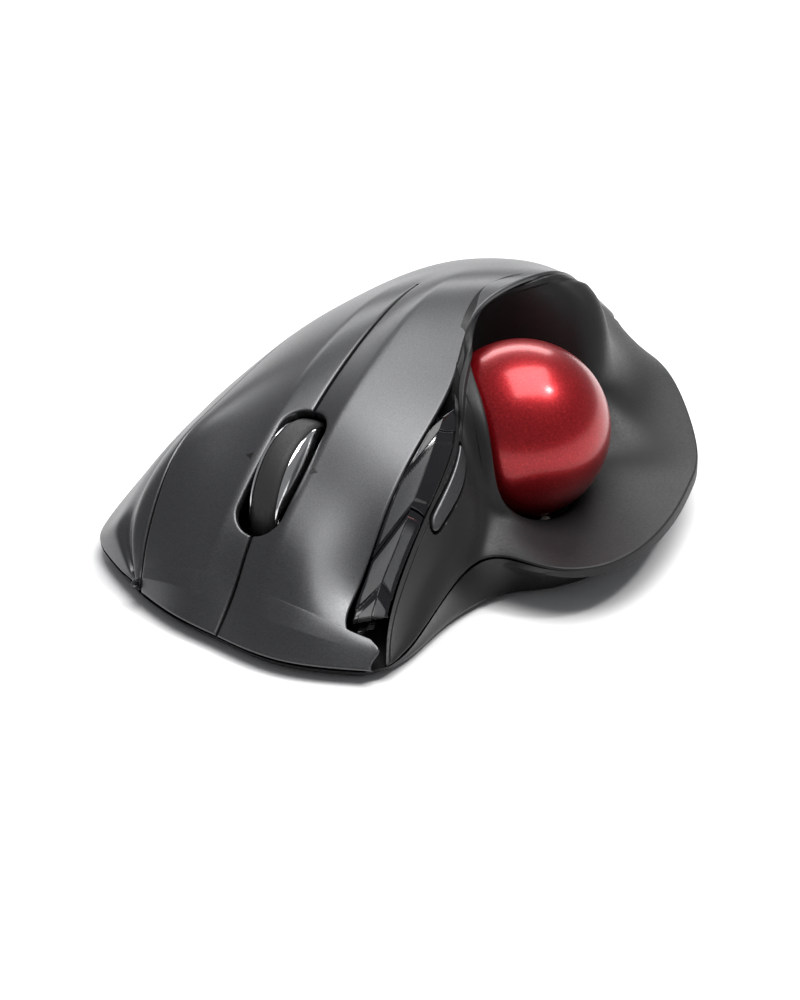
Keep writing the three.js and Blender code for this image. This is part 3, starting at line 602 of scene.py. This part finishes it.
def halving(inside, low, high):
    """Where inside(value) turns from true to false between low and high, for whole arrays."""
    for _ in range(40):
        middle = (low + high) / 2
        true = inside(middle)
        low, high = np.where(true, middle, low), np.where(true, high, middle)
    return (low + high) / 2


def button_edge(side):
    """The column at which a button ends at the centre seam or the slot. side is 1 for the right button."""

    def edge(u):
        def clear(v):
            points = cover.at(u, v)
            return np.minimum(side * points[..., 0] - SEAM_HALF, slot_distance(points)) > 0

        outside = np.full_like(u, 4 - side * 1.0)
        return halving(clear, outside, np.full_like(u, 4 + side * 0.6))

    return edge


def corner_edge(u):
    """The column at which the left button ends: its front corner reaches out under the side keys."""
    return np.where(u < CORNER_ROW - 0.001, 6.0, 6 + CORNER_REACH * (1 - smooth(9.2, 10, u)))


def slot_rows():
    """Rows of the cover, close together where the slot's rounded ends cross them."""
    places = stations([FLEX_ROW, 10], [85], 0.9)
    end = SLOT_HALF_LENGTH

    def before(sign):
        def test(u):
            offset = cover.at(u, np.full_like(u, 4.0)) - SLOT_CENTRE
            along = offset[..., 1] * math.cos(SLOT_SLOPE) - offset[..., 2] * math.sin(SLOT_SLOPE)
            return along < sign * end

        return test

    for sign in (-1, 1):
        tip = halving(before(sign), np.array([4.0]), np.array([9.5]))[0]
        into = -sign * np.arange(1, 27) ** 2 * 0.0006
        out = sign * np.arange(0, 9) ** 2 * 0.0012
        reach = sorted([tip + into[-1], tip + out[-1]])
        places = places[(places < reach[0]) | (places > reach[1])]
        places = np.concatenate([places, tip + into, tip + out])
    beyond = [0, 0.004, 0.010, 0.020, 0.034, 0.055, 0.09, 0.13]
    corner = CORNER_ROW + np.array([-0.06, -0.03, -0.012, -0.002, *beyond])
    places = places[(places < corner[0]) | (places > corner[-1])]
    return np.sort(np.concatenate([places, corner, [BROW_ROW - 0.02, BROW_ROW, BROW_ROW + 0.02]]))


def make_button(side, name):
    u_ends = (FLEX_ROW, 10)
    us = normalised(slot_rows(), u_ends)
    vs = graded(0, 1, 22, 0.7)
    edge = button_edge(side)
    v_ends = (BUTTON_COLUMN, edge) if side > 0 else (edge, corner_edge)
    gaps = [0, 0.2, 0.45, 0] if side > 0 else [0, 0.2, 0, 0.2]
    u, v = lay_out(cover, us, vs, u_ends, v_ends, gaps)
    points = cover.at(u, v)
    from_right, to_left = arcs(points, 1)
    to_front = arcs(points, 0)[1]
    ahead = np.clip(u - CORNER_ROW, 0, None) * speed(cover, u, v, -0.01, 0)
    inboard = np.clip(6 - v, 0, None) * speed(cover, u, v, 0, -0.01)
    notch = np.where(u < CORNER_ROW - 0.001, 9, np.hypot(ahead, inboard)) if side < 0 else to_front
    distance = np.minimum.reduce([from_right, to_left, to_front, np.abs(slot_distance(points)), notch])
    to_edge = to_left if side < 0 else np.full_like(to_left, 9)
    outer, inner = skin(cover, u, v, round_off(distance, EDGE_ROUND), lip_thickness(to_edge))
    mesh = shell_mesh(f"{name}_skin", outer, inner)
    piece = finish_mesh(f"{name}_skin", mesh, [SATIN], None, [name])
    flex_y = float(cover.at(FLEX_ROW, 4.0)[1] + SHIFT[1]) * MM
    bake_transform(piece)


# ---- thumb shell and its pointer speed key ----
COVE_CREASE = 2.7
KEY_ROWS = (7.5, 8.85)
KEY_COLUMNS = (0.3, 0.9)


def key_distance(u, v):
    """Distance from the outline of the pointer speed key, negative inside it."""
    row, column = sum(KEY_ROWS) / 2, sum(KEY_COLUMNS) / 2
    along_speed = speed(thumb, np.array(row), np.array(column), 0.01, 0)
    across_speed = speed(thumb, u, np.full_like(u, column), 0, 0.01)
    half_length = (KEY_ROWS[1] - KEY_ROWS[0]) / 2 * along_speed
    half_width = (KEY_COLUMNS[1] - KEY_COLUMNS[0]) / 2 * across_speed
    along = np.abs(u - row) * along_speed - half_length + half_width
    across = np.abs(v - column) * across_speed
    return np.hypot(np.clip(along, 0, None), across) - half_width


def make_thumb_shell():
    u_ends, v_ends = (0.14, 10.9), (0, 5)
    key_rows = np.linspace(KEY_ROWS[0] - 0.08, KEY_ROWS[1] + 0.08, 110)
    us = np.union1d(stations(list(u_ends), [160], 0.9), key_rows)
    lip = np.concatenate([np.arange(0, 4.2, 0.14) * 5 / 95, np.linspace(0.2, 1.0, 48)])
    vs = np.union1d(stations(list(v_ends), [95], 0.8), lip)
    u, v = lay_out(thumb, normalised(us, u_ends), normalised(vs, v_ends), u_ends, v_ends, [0, 0, 0.2, 0.3])
    points = thumb.at(u, v)
    from_lip, to_rim = arcs(points, 1)
    to_front = arcs(points, 0)[1]
    drop = round_off(to_rim, EDGE_ROUND)
    along = smooth(2.4, 4.0, u) * (1 - smooth(6.6, 7.6, u))
    tucked = (0.35 + 0.35 * along) * (1 - smooth(0.95, 1.15, from_lip))
    bead = 0.75 * along * smooth(0.95, 1.35, from_lip) * (1 - smooth(2.3, 3.1, from_lip))
    crease = np.clip(1 - np.abs(u - COVE_CREASE - 0.12 * v) / 0.45, 0, None) * smooth(0.2, 0.6, v)
    drop = drop + tucked - bead - 1.1 * crease * (1 - smooth(2.4, 3.3, v))
    groove = key_distance(u, v)
    drop = drop + 2.6 * (1 - smooth(0.30, 0.55, groove))
    outer, inner = skin(thumb, u, v, drop)
    outer, deep = hug_ball(outer, BALL_CLEARANCE)
    inner, _ = hug_ball(inner, BALL_CLEARANCE + SKIN)
    keep = (groove[:-1, :-1] > 0.28) & (deep[:-1, :-1] < SOCKET_DEPTH)
    mesh = shell_mesh("thumb_shell_skin", outer, inner, keep)
    finish_mesh("thumb_shell_skin", mesh, [MATTE], "case", ["thumb_shell"])


def hug_ball(points, clearance):
    """Pushes points out of the ball's socket with a soft shoulder. Gives how deep each one was, too."""
    soft = 1.3
    offset = points - BALL_CENTRE
    far = np.linalg.norm(offset, axis=-1, keepdims=True)
    over = far - BALL_RADIUS - clearance
    pushed = BALL_RADIUS + clearance + (over + np.sqrt(over**2 + soft**2)) / 2
    return BALL_CENTRE + offset / far * pushed, -over[..., 0]


def make_speed_key():
    row, column = sum(KEY_ROWS) / 2, sum(KEY_COLUMNS) / 2
    length = (KEY_ROWS[1] - KEY_ROWS[0]) * speed(thumb, np.array(row), np.array(column), 0.01, 0)
    t = np.concatenate([[0, 0.002, 0.006, 0.012, 0.02, 0.03, 0.045, 0.065], np.linspace(0.09, 0.91, 50)])
    t = np.sort(np.concatenate([t, 1 - t[:8]]))
    s = np.concatenate([[0, 0.02, 0.05, 0.09, 0.15, 0.24], np.linspace(0.36, 0.64, 4)])
    s = np.sort(np.concatenate([s, 1 - s[:6]]))
    u = (KEY_ROWS[0] + (KEY_ROWS[1] - KEY_ROWS[0]) * t)[:, None] * np.ones_like(s)
    across_speed = speed(thumb, u, np.full_like(u, column), 0, 0.01)
    half = (KEY_COLUMNS[1] - KEY_COLUMNS[0]) / 2 * across_speed
    past = np.clip(np.abs(t - 0.5) * length - length / 2 + half[:, 0], 0, half[:, 0])
    width = np.sqrt(np.clip(half[:, 0] ** 2 - past**2, 0.0004, None))[:, None] / across_speed
    v = column + (2 * s[None, :] - 1) * width
    distance = -key_distance(u, v)
    outer, inner = skin(thumb, u, v, round_off(distance, 0.5), 1.4, 0.2)
    mesh = shell_mesh("speed_key_skin", outer, inner)
    finish_mesh("speed_key_skin", mesh, [SATIN], "speed_key", ["pointer_speed_button"])


# ---- glossy side keys: two facets with a ridge between them, crossed by arrow-shaped grooves ----
INSET_RAIL_COVER = (5.25, 8.98)
INSET_RAIL_THUMB = (6.35, 10.35)
INSET_BULGE = 1.0
KEY_SPLIT = 3.15
ARROW_RUN = 0.6


class Facets(Sheet):
    """A sheet that is straight across, from each edge to the ridge."""

    def at(self, u, v):
        u, v = np.broadcast_arrays(np.asarray(u, float), np.asarray(v, float))
        across = knot_weights(self.net.shape[0], u.ravel())
        ridge = (1 - np.abs(v.ravel() - 1))[:, None]
        upper = np.clip(1 - v.ravel(), 0, None)[:, None]
        lower = np.clip(v.ravel() - 1, 0, None)[:, None]
        lines = np.einsum("pi,ijk->pjk", across, self.net)
        points = upper * lines[:, 0] + ridge * lines[:, 1] + lower * lines[:, 2]
        return points.reshape(*u.shape, 3)


def inset_sheet():
    t = np.linspace(0, 1, 7)
    upper = cover.at(INSET_RAIL_COVER[0] + (INSET_RAIL_COVER[1] - INSET_RAIL_COVER[0]) * t, 6.0)
    lower = thumb.at(INSET_RAIL_THUMB[0] + (INSET_RAIL_THUMB[1] - INSET_RAIL_THUMB[0]) * t, 0.0)
    middle = (upper + lower) / 2 + np.array([-0.62, 0.2, 0.76]) * INSET_BULGE
    return Facets(np.stack([upper, middle, lower], 1))


def make_side_key(inset, rows, name, body):
    us, vs = graded(0, 1, 24, 0.16), np.union1d(graded(0, 1, 11, 0.16), [0.5])
    step = 0.01
    v = 2 * vs[None, :] * np.ones_like(us)[:, None]
    arrow = ARROW_RUN * np.abs(v - 1)
    low, high = [row + (arrow if is_arrow else 0) for row, is_arrow in rows]
    u = low + (high - low) * us[:, None]
    pace = speed(inset, u, v, step, 0)
    u = u + 0.2 / pace * (1 - 2 * us[:, None])
    width = speed(inset, u, np.clip(v, 0, 2 - step), 0, step)
    v = v + np.where(v < 1, 0.62, 0.3) / width * (1 - v)
    points = inset.at(u, v)
    from_cover, to_thumb = arcs(points, 1)
    from_rear, to_front = arcs(points, 0)
    border = np.minimum.reduce([from_cover, to_thumb, from_rear, to_front])
    off_ridge = np.abs(v - 1) * width
    apexes = np.array([KEY_SPLIT - 1.75, KEY_SPLIT, KEY_SPLIT + 1.75])
    groove = np.min(np.abs(u[..., None] - ARROW_RUN * np.abs(v - 1)[..., None] - apexes), -1) * 8.7 * 0.7
    front_panel = smooth(apexes[1] + 0.2, apexes[1] + 0.5, u - ARROW_RUN * np.abs(v - 1))
    left = smooth(0.15, 0.30, np.where(v < 1, off_ridge, 0)) * smooth(0.9, 1.1, from_cover)
    right = smooth(0.15, 0.30, np.where(v > 1, off_ridge, 0)) * smooth(0.8, 1.0, to_thumb) * front_panel
    facet = (left + right) * smooth(1.15, 1.35, groove)
    drop = round_off(border, 0.3) + 0.35 * (1 - smooth(0.9, 1.3, groove)) + 0.12 * (1 - facet)
    outer, inner = skin(inset, u, v, drop, 1.4)
    mesh = shell_mesh(f"{name}_skin", outer, inner, None, {"facet": facet})
    finish_mesh(f"{name}_skin", mesh, [GLOSS], body, [name], 24)


def make_inset():
    inset = inset_sheet()
    make_side_key(inset, [(0.8, False), (KEY_SPLIT, True)], "back_button", "back_key")
    make_side_key(inset, [(KEY_SPLIT, True), (5.7, False)], "forward_button", "forward_key")


# ---- turned pieces ----
def turned(name, profile, centre, axis, sides=96):
    """A closed profile of (radius, height) pairs, turned about an axis through centre."""
    profile = np.array(profile, float)
    angles = np.linspace(0, 2 * np.pi, sides, endpoint=False)
    ring = np.stack([np.cos(angles), np.sin(angles)], -1)
    around = profile[None, :, :1] * ring[:, None, :]
    heights = np.broadcast_to(profile[None, :, 1:], (*around.shape[:2], 1))
    order = {"x": (2, 0, 1), "y": (1, 2, 0), "z": (0, 1, 2)}[axis]
    points = np.concatenate([around, heights], -1)[..., order].reshape(-1, 3) + centre
    count = len(profile)
    faces = []
    for k in range(sides):
        n = (k + 1) % sides
        for j in range(count):
            m = (j + 1) % count
            faces.append([k * count + j, n * count + j, n * count + m, k * count + m])
    mesh = mesh_from(name, points, faces)
    shape = bmesh.new()
    shape.from_mesh(mesh)
    bmesh.ops.recalc_face_normals(shape, faces=shape.faces)
    shape.to_mesh(mesh)
    shape.free()
    return mesh


def arc_points(centre, radius, start, end, count):
    angles = np.radians(np.linspace(start, end, count))
    return [(centre[0] + radius * math.cos(a), centre[1] + radius * math.sin(a)) for a in angles]


def make_wheel():
    wide, shoulder = TYRE_HALF_WIDTH, 0.9
    flat = wide - 0.7
    crown = [(WHEEL_RADIUS - 0.25 * (x / wide) ** 2 - 0.02, x) for x in np.linspace(-flat, flat, 9)]
    tyre = [(11.6, -wide), (13.0, -wide)]
    tyre += arc_points((13.15, -wide + shoulder), shoulder, -90, -15, 6)[1:]
    tyre += crown
    tyre += arc_points((13.15, wide - shoulder), shoulder, 15, 90, 6)[:-1]
    tyre += [(13.0, wide), (11.6, wide)]
    finish_mesh("tyre_skin", turned("tyre_skin", tyre, WHEEL_CENTRE, "x", 128), [RUBBER], "wheel",
                ["scroll_tyre"])
    for sign, side in ((1, "right"), (-1, "left")):
        dome = [(1.9, 0.2), (11.3, 0.2), (11.3, wide + 0.1), (13.4, wide + 0.1), (13.55, wide + 0.2)]
        dome += [(13.5, 2.95), (13.35, 3.15), (13.0, 3.4), (12.5, 3.68), (11.9, 3.92), (11.2, 4.12)]
        dome += [(10.3, 4.3), (9, 4.46), (7, 4.58), (4, 4.66), (1.9, HUB_HALF_WIDTH)]
        profile = [(radius, sign * out) for radius, out in dome]
        mesh = turned(f"hub_{side}_skin", profile, WHEEL_CENTRE, "x", 128)
        finish_mesh(f"hub_{side}_skin", mesh, [CHROME], "wheel", [f"wheel_hub_{side}"])


def make_ball():
    mesh = bpy.data.meshes.new("ball_skin")
    shape = bmesh.new()
    bmesh.ops.create_uvsphere(shape, u_segments=112, v_segments=72, radius=BALL_RADIUS * MM)
    bmesh.ops.translate(shape, verts=shape.verts, vec=Vector((BALL_CENTRE + SHIFT) * MM))
    shape.to_mesh(mesh)
    shape.free()
    finish_mesh("ball_skin", mesh, [RED], "trackball", ["ball"])


# ---- tilt marks printed beside the wheel ----
TILT_MARKS = {"right": (6.84, 3.43, 1), "left": (6.89, 4.54, -1)}


def make_tilt_marks():
    for side, (row, column, sign) in TILT_MARKS.items():
        centre, out = cover.at(row, column), cover.normal(row, column)
        across = np.array([sign, 0, 0]) - out * out[0] * sign
        across /= np.linalg.norm(across)
        along = np.cross(out, across)
        corners = [centre + 0.95 * across, centre - 0.45 * across + 0.75 * along,
                   centre - 0.45 * across - 0.75 * along]
        points = [c + out * 0.05 for c in corners] + [c - out * 0.5 for c in corners]
        faces = [[0, 1, 2], [5, 4, 3], [0, 3, 4, 1], [1, 4, 5, 2], [2, 5, 3, 0]]
        name = f"tilt_mark_{side}"
        finish_mesh(name, outward(mesh_from(name, np.array(points), faces)), [MARK], f"{side}_key")


# ---- bottom case ----
FLOOR_LOW, FLOOR_HIGH = 1.0, 2.6
BATTERY_CENTRE = (8, -47)
DOOR_SIZE = (18.4, 57)
BOARD_POSTS = [(18, 38), (-15, 39), (16, -13), (2, -13)]
SHELL_SCREWS = [(26, 6), (-22, 34), (25, -60)]
POWER_HOLE = (-14, -50)
RECEIVER_BAY = (28.4, -12)
RECEIVER_LENGTH = 18.5
BASE_LEFT = [(-12, -82), (-22, -76.5), (-34, -61), (-47, -40), (-52.5, -26), (-54.5, -12), (-51, 1.5), (-45, 9.5),
             (-38.8, 15.8), (-35.2, 28), (-34.4, 41), (-32.6, 49)]


def towards_middle(points):
    middle = np.stack([np.full(len(points), -4.0), np.clip(points[:, 1], -50, 26)], -1)
    way = middle - points[:, :2]
    return np.pad(way / np.linalg.norm(way, axis=1, keepdims=True), ((0, 0), (0, 1)))


def case_rings():
    """Matching rings of points from the foot of the wall, up its outside, over the top and down inside."""
    right = cover.at(np.linspace(0.2, 9.9, 120), 0.0)
    front = cover.at(10.0, np.linspace(2.3, 5.9, 60))
    u = np.linspace(10.85, 0.25, 170)
    left = thumb.at(u, 5.0)
    base_left = knot_weights(len(BASE_LEFT), u) @ np.pad(np.array(BASE_LEFT, float), ((0, 0), (0, 1)))
    rim = np.concatenate([right, front, left])
    base = np.concatenate([rim[:180] + 1.3 * towards_middle(rim[:180]), base_left])
    inward = towards_middle(rim)
    top = rim + 0.35 * inward - [0, 0, 0.5]
    rings = []
    for inset, height in ((1.1, 0.0), (0.35, 0.25), (0.0, 0.95)):
        ring = base + inset * inward
        ring[:, 2] = FLOOR_LOW + height
        rings.append(ring)
    overhang = np.linalg.norm((top - base)[:, :2], axis=1, keepdims=True)
    foot = rings[-1]
    for t in np.linspace(0, 1, 9)[1:]:
        rings.append(foot + (top - foot) * t + inward * 0.16 * overhang * math.sin(math.pi * t))
    inner_top = top + 1.8 * inward
    inner_top[:, 2] = np.maximum(inner_top[:, 2] - 1.2, FLOOR_HIGH + 0.1)
    inner_foot = base + 2.6 * inward
    inner_foot[:, 2] = FLOOR_HIGH
    return rings + [inner_top, inner_foot]


def stacked(name, rings):
    """A closed solid from matching rings, with a flat face at each end."""
    count = len(rings[0])
    faces = [list(range(count))[::-1], [(len(rings) - 1) * count + k for k in range(count)]]
    for i in range(len(rings) - 1):
        for k in range(count):
            n = (k + 1) % count
            faces.append([i * count + k, i * count + n, (i + 1) * count + n, (i + 1) * count + k])
    return outward(mesh_from(name, np.concatenate(rings), faces))


def outward(mesh):
    shape = bmesh.new()
    shape.from_mesh(mesh)
    bmesh.ops.recalc_face_normals(shape, faces=shape.faces)
    shape.to_mesh(mesh)
    shape.free()
    return mesh


def rounded_outline(half_x, half_y, corner, inset=0.0, sides=8):
    corner = max(min(corner, half_x, half_y) - inset, 0.02)
    cx, cy = half_x - inset - corner, half_y - inset - corner
    points = []
    for k, (sx, sy) in enumerate(((1, 1), (-1, 1), (-1, -1), (1, -1))):
        for a in np.linspace(0, math.pi / 2, sides) + k * math.pi / 2:
            points.append((sx * cx + corner * math.cos(a), sy * cy + corner * math.sin(a)))
    return np.array(points)


def pillow(name, centre, half, corner, edge, axis="z"):
    """A block with rounded corners and a rounded edge at both ends of its axis."""
    x, y, z = {"z": half, "y": (half[2], half[0], half[1]), "x": (half[1], half[2], half[0])}[axis]
    rings = []
    for inset, height in ((edge, -z), (edge * 0.3, -z + edge * 0.3), (0, -z + edge), (0, z - edge),
                          (edge * 0.3, z - edge * 0.3), (edge, z)):
        flat = rounded_outline(x, y, corner, inset)
        ring = np.column_stack([flat, np.full(len(flat), height)])
        order = {"z": [0, 1, 2], "y": [1, 2, 0], "x": [2, 0, 1]}[axis]
        rings.append(ring[:, order] + centre)
    return stacked(name, rings)


def post(name, radius, low, high, place, sides=32):
    angles = np.linspace(0, 2 * np.pi, sides, endpoint=False)
    ring = np.column_stack([place[0] + radius * np.cos(angles), place[1] + radius * np.sin(angles)])
    return stacked(name, [np.column_stack([ring, np.full(sides, z)]) for z in (low, high)])


def combined(mesh, parts, operation):
    """The mesh with each part joined to it or cut from it."""
    for part in parts:
        body = bpy.data.objects.new("body_being_cut", mesh)
        tool = bpy.data.objects.new("cutting_tool", part)
        for item in (body, tool):
            bpy.context.scene.collection.objects.link(item)
        change = body.modifiers.new("combine", "BOOLEAN")
        change.operation = operation
        change.solver = "MANIFOLD"
        change.object = tool
        bpy.context.view_layer.update()
        mesh = bpy.data.meshes.new_from_object(body.evaluated_get(bpy.context.evaluated_depsgraph_get()))
        for item in (body, tool):
            bpy.data.objects.remove(item)
    return mesh


def make_bottom_case():
    case = stacked("bottom_case_skin", case_rings())
    battery_x, battery_y = BATTERY_CENTRE
    bay_x, bay_y = RECEIVER_BAY
    bosses = [post("boss", 2.2, 2, 4.7, place) for place in BOARD_POSTS]
    bosses += [post("boss", 3, 2, 9.4, place) for place in SHELL_SCREWS]
    for side in (-1, 1):
        bosses.append(pillow("rail", (battery_x + side * 10.2, battery_y, 6.5), (0.7, 25, 4.5), 0.1, 0.05))
    bosses.append(pillow("bay", (bay_x, bay_y, 4.9), (8.9, 11.4, 2.9), 1.0, 0.05))
    case = combined(case, bosses, "UNION")
    holes = [
        pillow("bay_hollow", (bay_x, bay_y, 0.9), (7.6, 10, 6), 1.0, 0.05),
        pillow("doorway", (battery_x, battery_y, 1.8), (DOOR_SIZE[0] / 2, DOOR_SIZE[1] / 2, 3), 2.0, 0.05),
        pillow("switch_hole", (*POWER_HOLE, 1.8), (4.5, 2.3, 3), 0.8, 0.05),
    ]
    holes += [post("screw_hole", 1.7, -2, 10, place) for place in SHELL_SCREWS]
    holes += [post("screw_well", 2.7, -1.3, 3.3, place) for place in SHELL_SCREWS]
    case = combined(case, holes, "DIFFERENCE")
    finish_mesh("bottom_case_skin", case, [CASE], "case", ["bottom_case"], 32)


# ---- what shows on the underside ----
FEET = {"front": (0, 44, 13, 3.2, 90), "right": (33.5, 12, 8, 3, 0), "left": (-43, -14, 9, 3, 0),
        "rear": (-8, -76.2, 5, 2.4, 90)}


def make_underside():
    for side, (x, y, half_length, half_width, turn) in FEET.items():
        half = (half_length, half_width, 0.35) if turn else (half_width, half_length, 0.35)
        mesh = pillow(f"foot_{side}_skin", (x, y, 0.35), half, half_width, 0.25)
        finish_mesh(f"foot_{side}_skin", mesh, [FOOT], "case", [f"foot_{side}"])
    x, y = BATTERY_CENTRE
    wide, long = DOOR_SIZE[0] / 2 - 0.3, DOOR_SIZE[1] / 2 - 0.3
    door = pillow("door_skin", (x, y, 1.8), (wide, long, 0.8), 1.8, 0.2)
    grips = []
    for k in range(5):
        grips.append(pillow("grip", (x, y - long + 5 + 1.6 * k, 0.9), (5 - 0.5 * k, 0.4, 0.45), 0.4, 0.1))
    door = combined(door, grips, "DIFFERENCE")
    finish_mesh("door_skin", door, [CASE], "door", ["battery_door"], 32)
    for k, place in enumerate(SHELL_SCREWS):
        screw = combined(post("screw", 2.3, 1.7, 3.1, place), [post("shank", 1.35, 2.4, 10, place)], "UNION")
        arms = ((1.5, 0.3, 0.7), (0.3, 1.5, 0.7))
        cross = [pillow("cross", (*place, 1.5), half, 0.2, 0.05) for half in arms]
        screw = combined(screw, cross, "DIFFERENCE")
        finish_mesh(f"screw_{k + 1}_skin", screw, [STEEL], "case", [f"case_screw_{k + 1}"], 32)
    x, y = POWER_HOLE
    knob = pillow("switch_knob_skin", (x - 2, y, 1.7), (1.7, 1.8, 0.8), 0.5, 0.2)
    ribs = [pillow("rib", (x - 2 + 0.9 * side, y, 0.85), (0.2, 1.4, 0.35), 0.1, 0.05) for side in (-1, 0, 1)]
    knob = combined(knob, ribs, "DIFFERENCE")
    finish_mesh("switch_knob_skin", knob, [CAP], "switch_knob", ["power_slider"], 32)


def make_receiver():
    wide, high, long = 12.0, 4.5, 12.0
    x, y = RECEIVER_BAY
    z = 1.3 + high / 2
    plug_y = y + RECEIVER_LENGTH / 2 - long / 2
    shell = pillow("plug_skin", (x, plug_y, z), (wide / 2, long / 2, high / 2), 0.5, 0.12, "y")
    wall = 0.45
    cuts = [pillow("hollow", (x, plug_y + 1, z), (wide / 2 - wall, long / 2, high / 2 - wall), 0.3, 0.05, "y")]
    for side in (-1, 1):
        cuts.append(pillow("window", (x + side * 2.6, plug_y + 1.5, z), (1.2, 1.2, 4), 0.15, 0.05))
    shell = combined(shell, cuts, "DIFFERENCE")
    finish_mesh("plug_skin", shell, [CHROME], "receiver", ["receiver_shell"], 32)
    cap_long = RECEIVER_LENGTH - long - 0.4
    cap = pillow("receiver_cap_skin", (x, y - long / 2 - 0.2, 3.9), (7.1, cap_long / 2, 2.6), 1.0, 0.5, "y")
    finish_mesh("receiver_cap_skin", cap, [CAP], "receiver", ["receiver_cap"], 32)


# ---- studio ----
def area_light(name, place, aim, size, power, colour=(1, 1, 1)):
    light = bpy.data.lights.new(name, "AREA")
    light.shape = "RECTANGLE"
    light.size, light.size_y = size
    light.energy = power
    light.color = colour
    lamp = bpy.data.objects.new(name, light)
    bpy.context.scene.collection.objects.link(lamp)
    place, aim = Vector(place), Vector(aim)
    lamp.matrix_world = Matrix.Translation(place) @ (place - aim).to_track_quat("Z", "Y").to_matrix().to_4x4()


def make_studio():
    floor = bpy.data.meshes.new("floor")
    floor.from_pydata([(-3, -3, 0), (3, -3, 0), (3, 3, 0), (-3, 3, 0)], [], [(0, 1, 2, 3)])
    sheet = bpy.data.objects.new("floor", floor)
    bpy.context.scene.collection.objects.link(sheet)
    floor.materials.append(plastic("paper", (0.90, 0.90, 0.90), 0.01, 0.9, 200, 0.02))
    world = bpy.data.worlds.new("studio")
    world.use_nodes = True
    world.node_tree.nodes["Background"].inputs["Color"].default_value = (0.95, 0.97, 1, 1)
    world.node_tree.nodes["Background"].inputs["Strength"].default_value = 0.24
    bpy.context.scene.world = world
    bpy.context.scene.view_settings.view_transform = "Standard"
    area_light("overhead", (-0.12, -0.10, 0.95), (0, 0, 0), (0.75, 0.75), 12)
    area_light("spot", (-0.47, -0.16, 0.82), (0, 0, 0.02), (0.09, 0.09), 2.0)
    area_light("back_strip", (0.45, -0.75, 0.45), (0, 0, 0.02), (0.8, 0.25), 3)


make_camera()
paint_frame()
make_palm_cover()
make_button(1, "right_button")
make_button(-1, "left_button")
make_thumb_shell()
make_speed_key()
make_inset()
make_wheel()
make_ball()
make_tilt_marks()
make_bottom_case()
make_underside()
make_receiver()
make_studio()
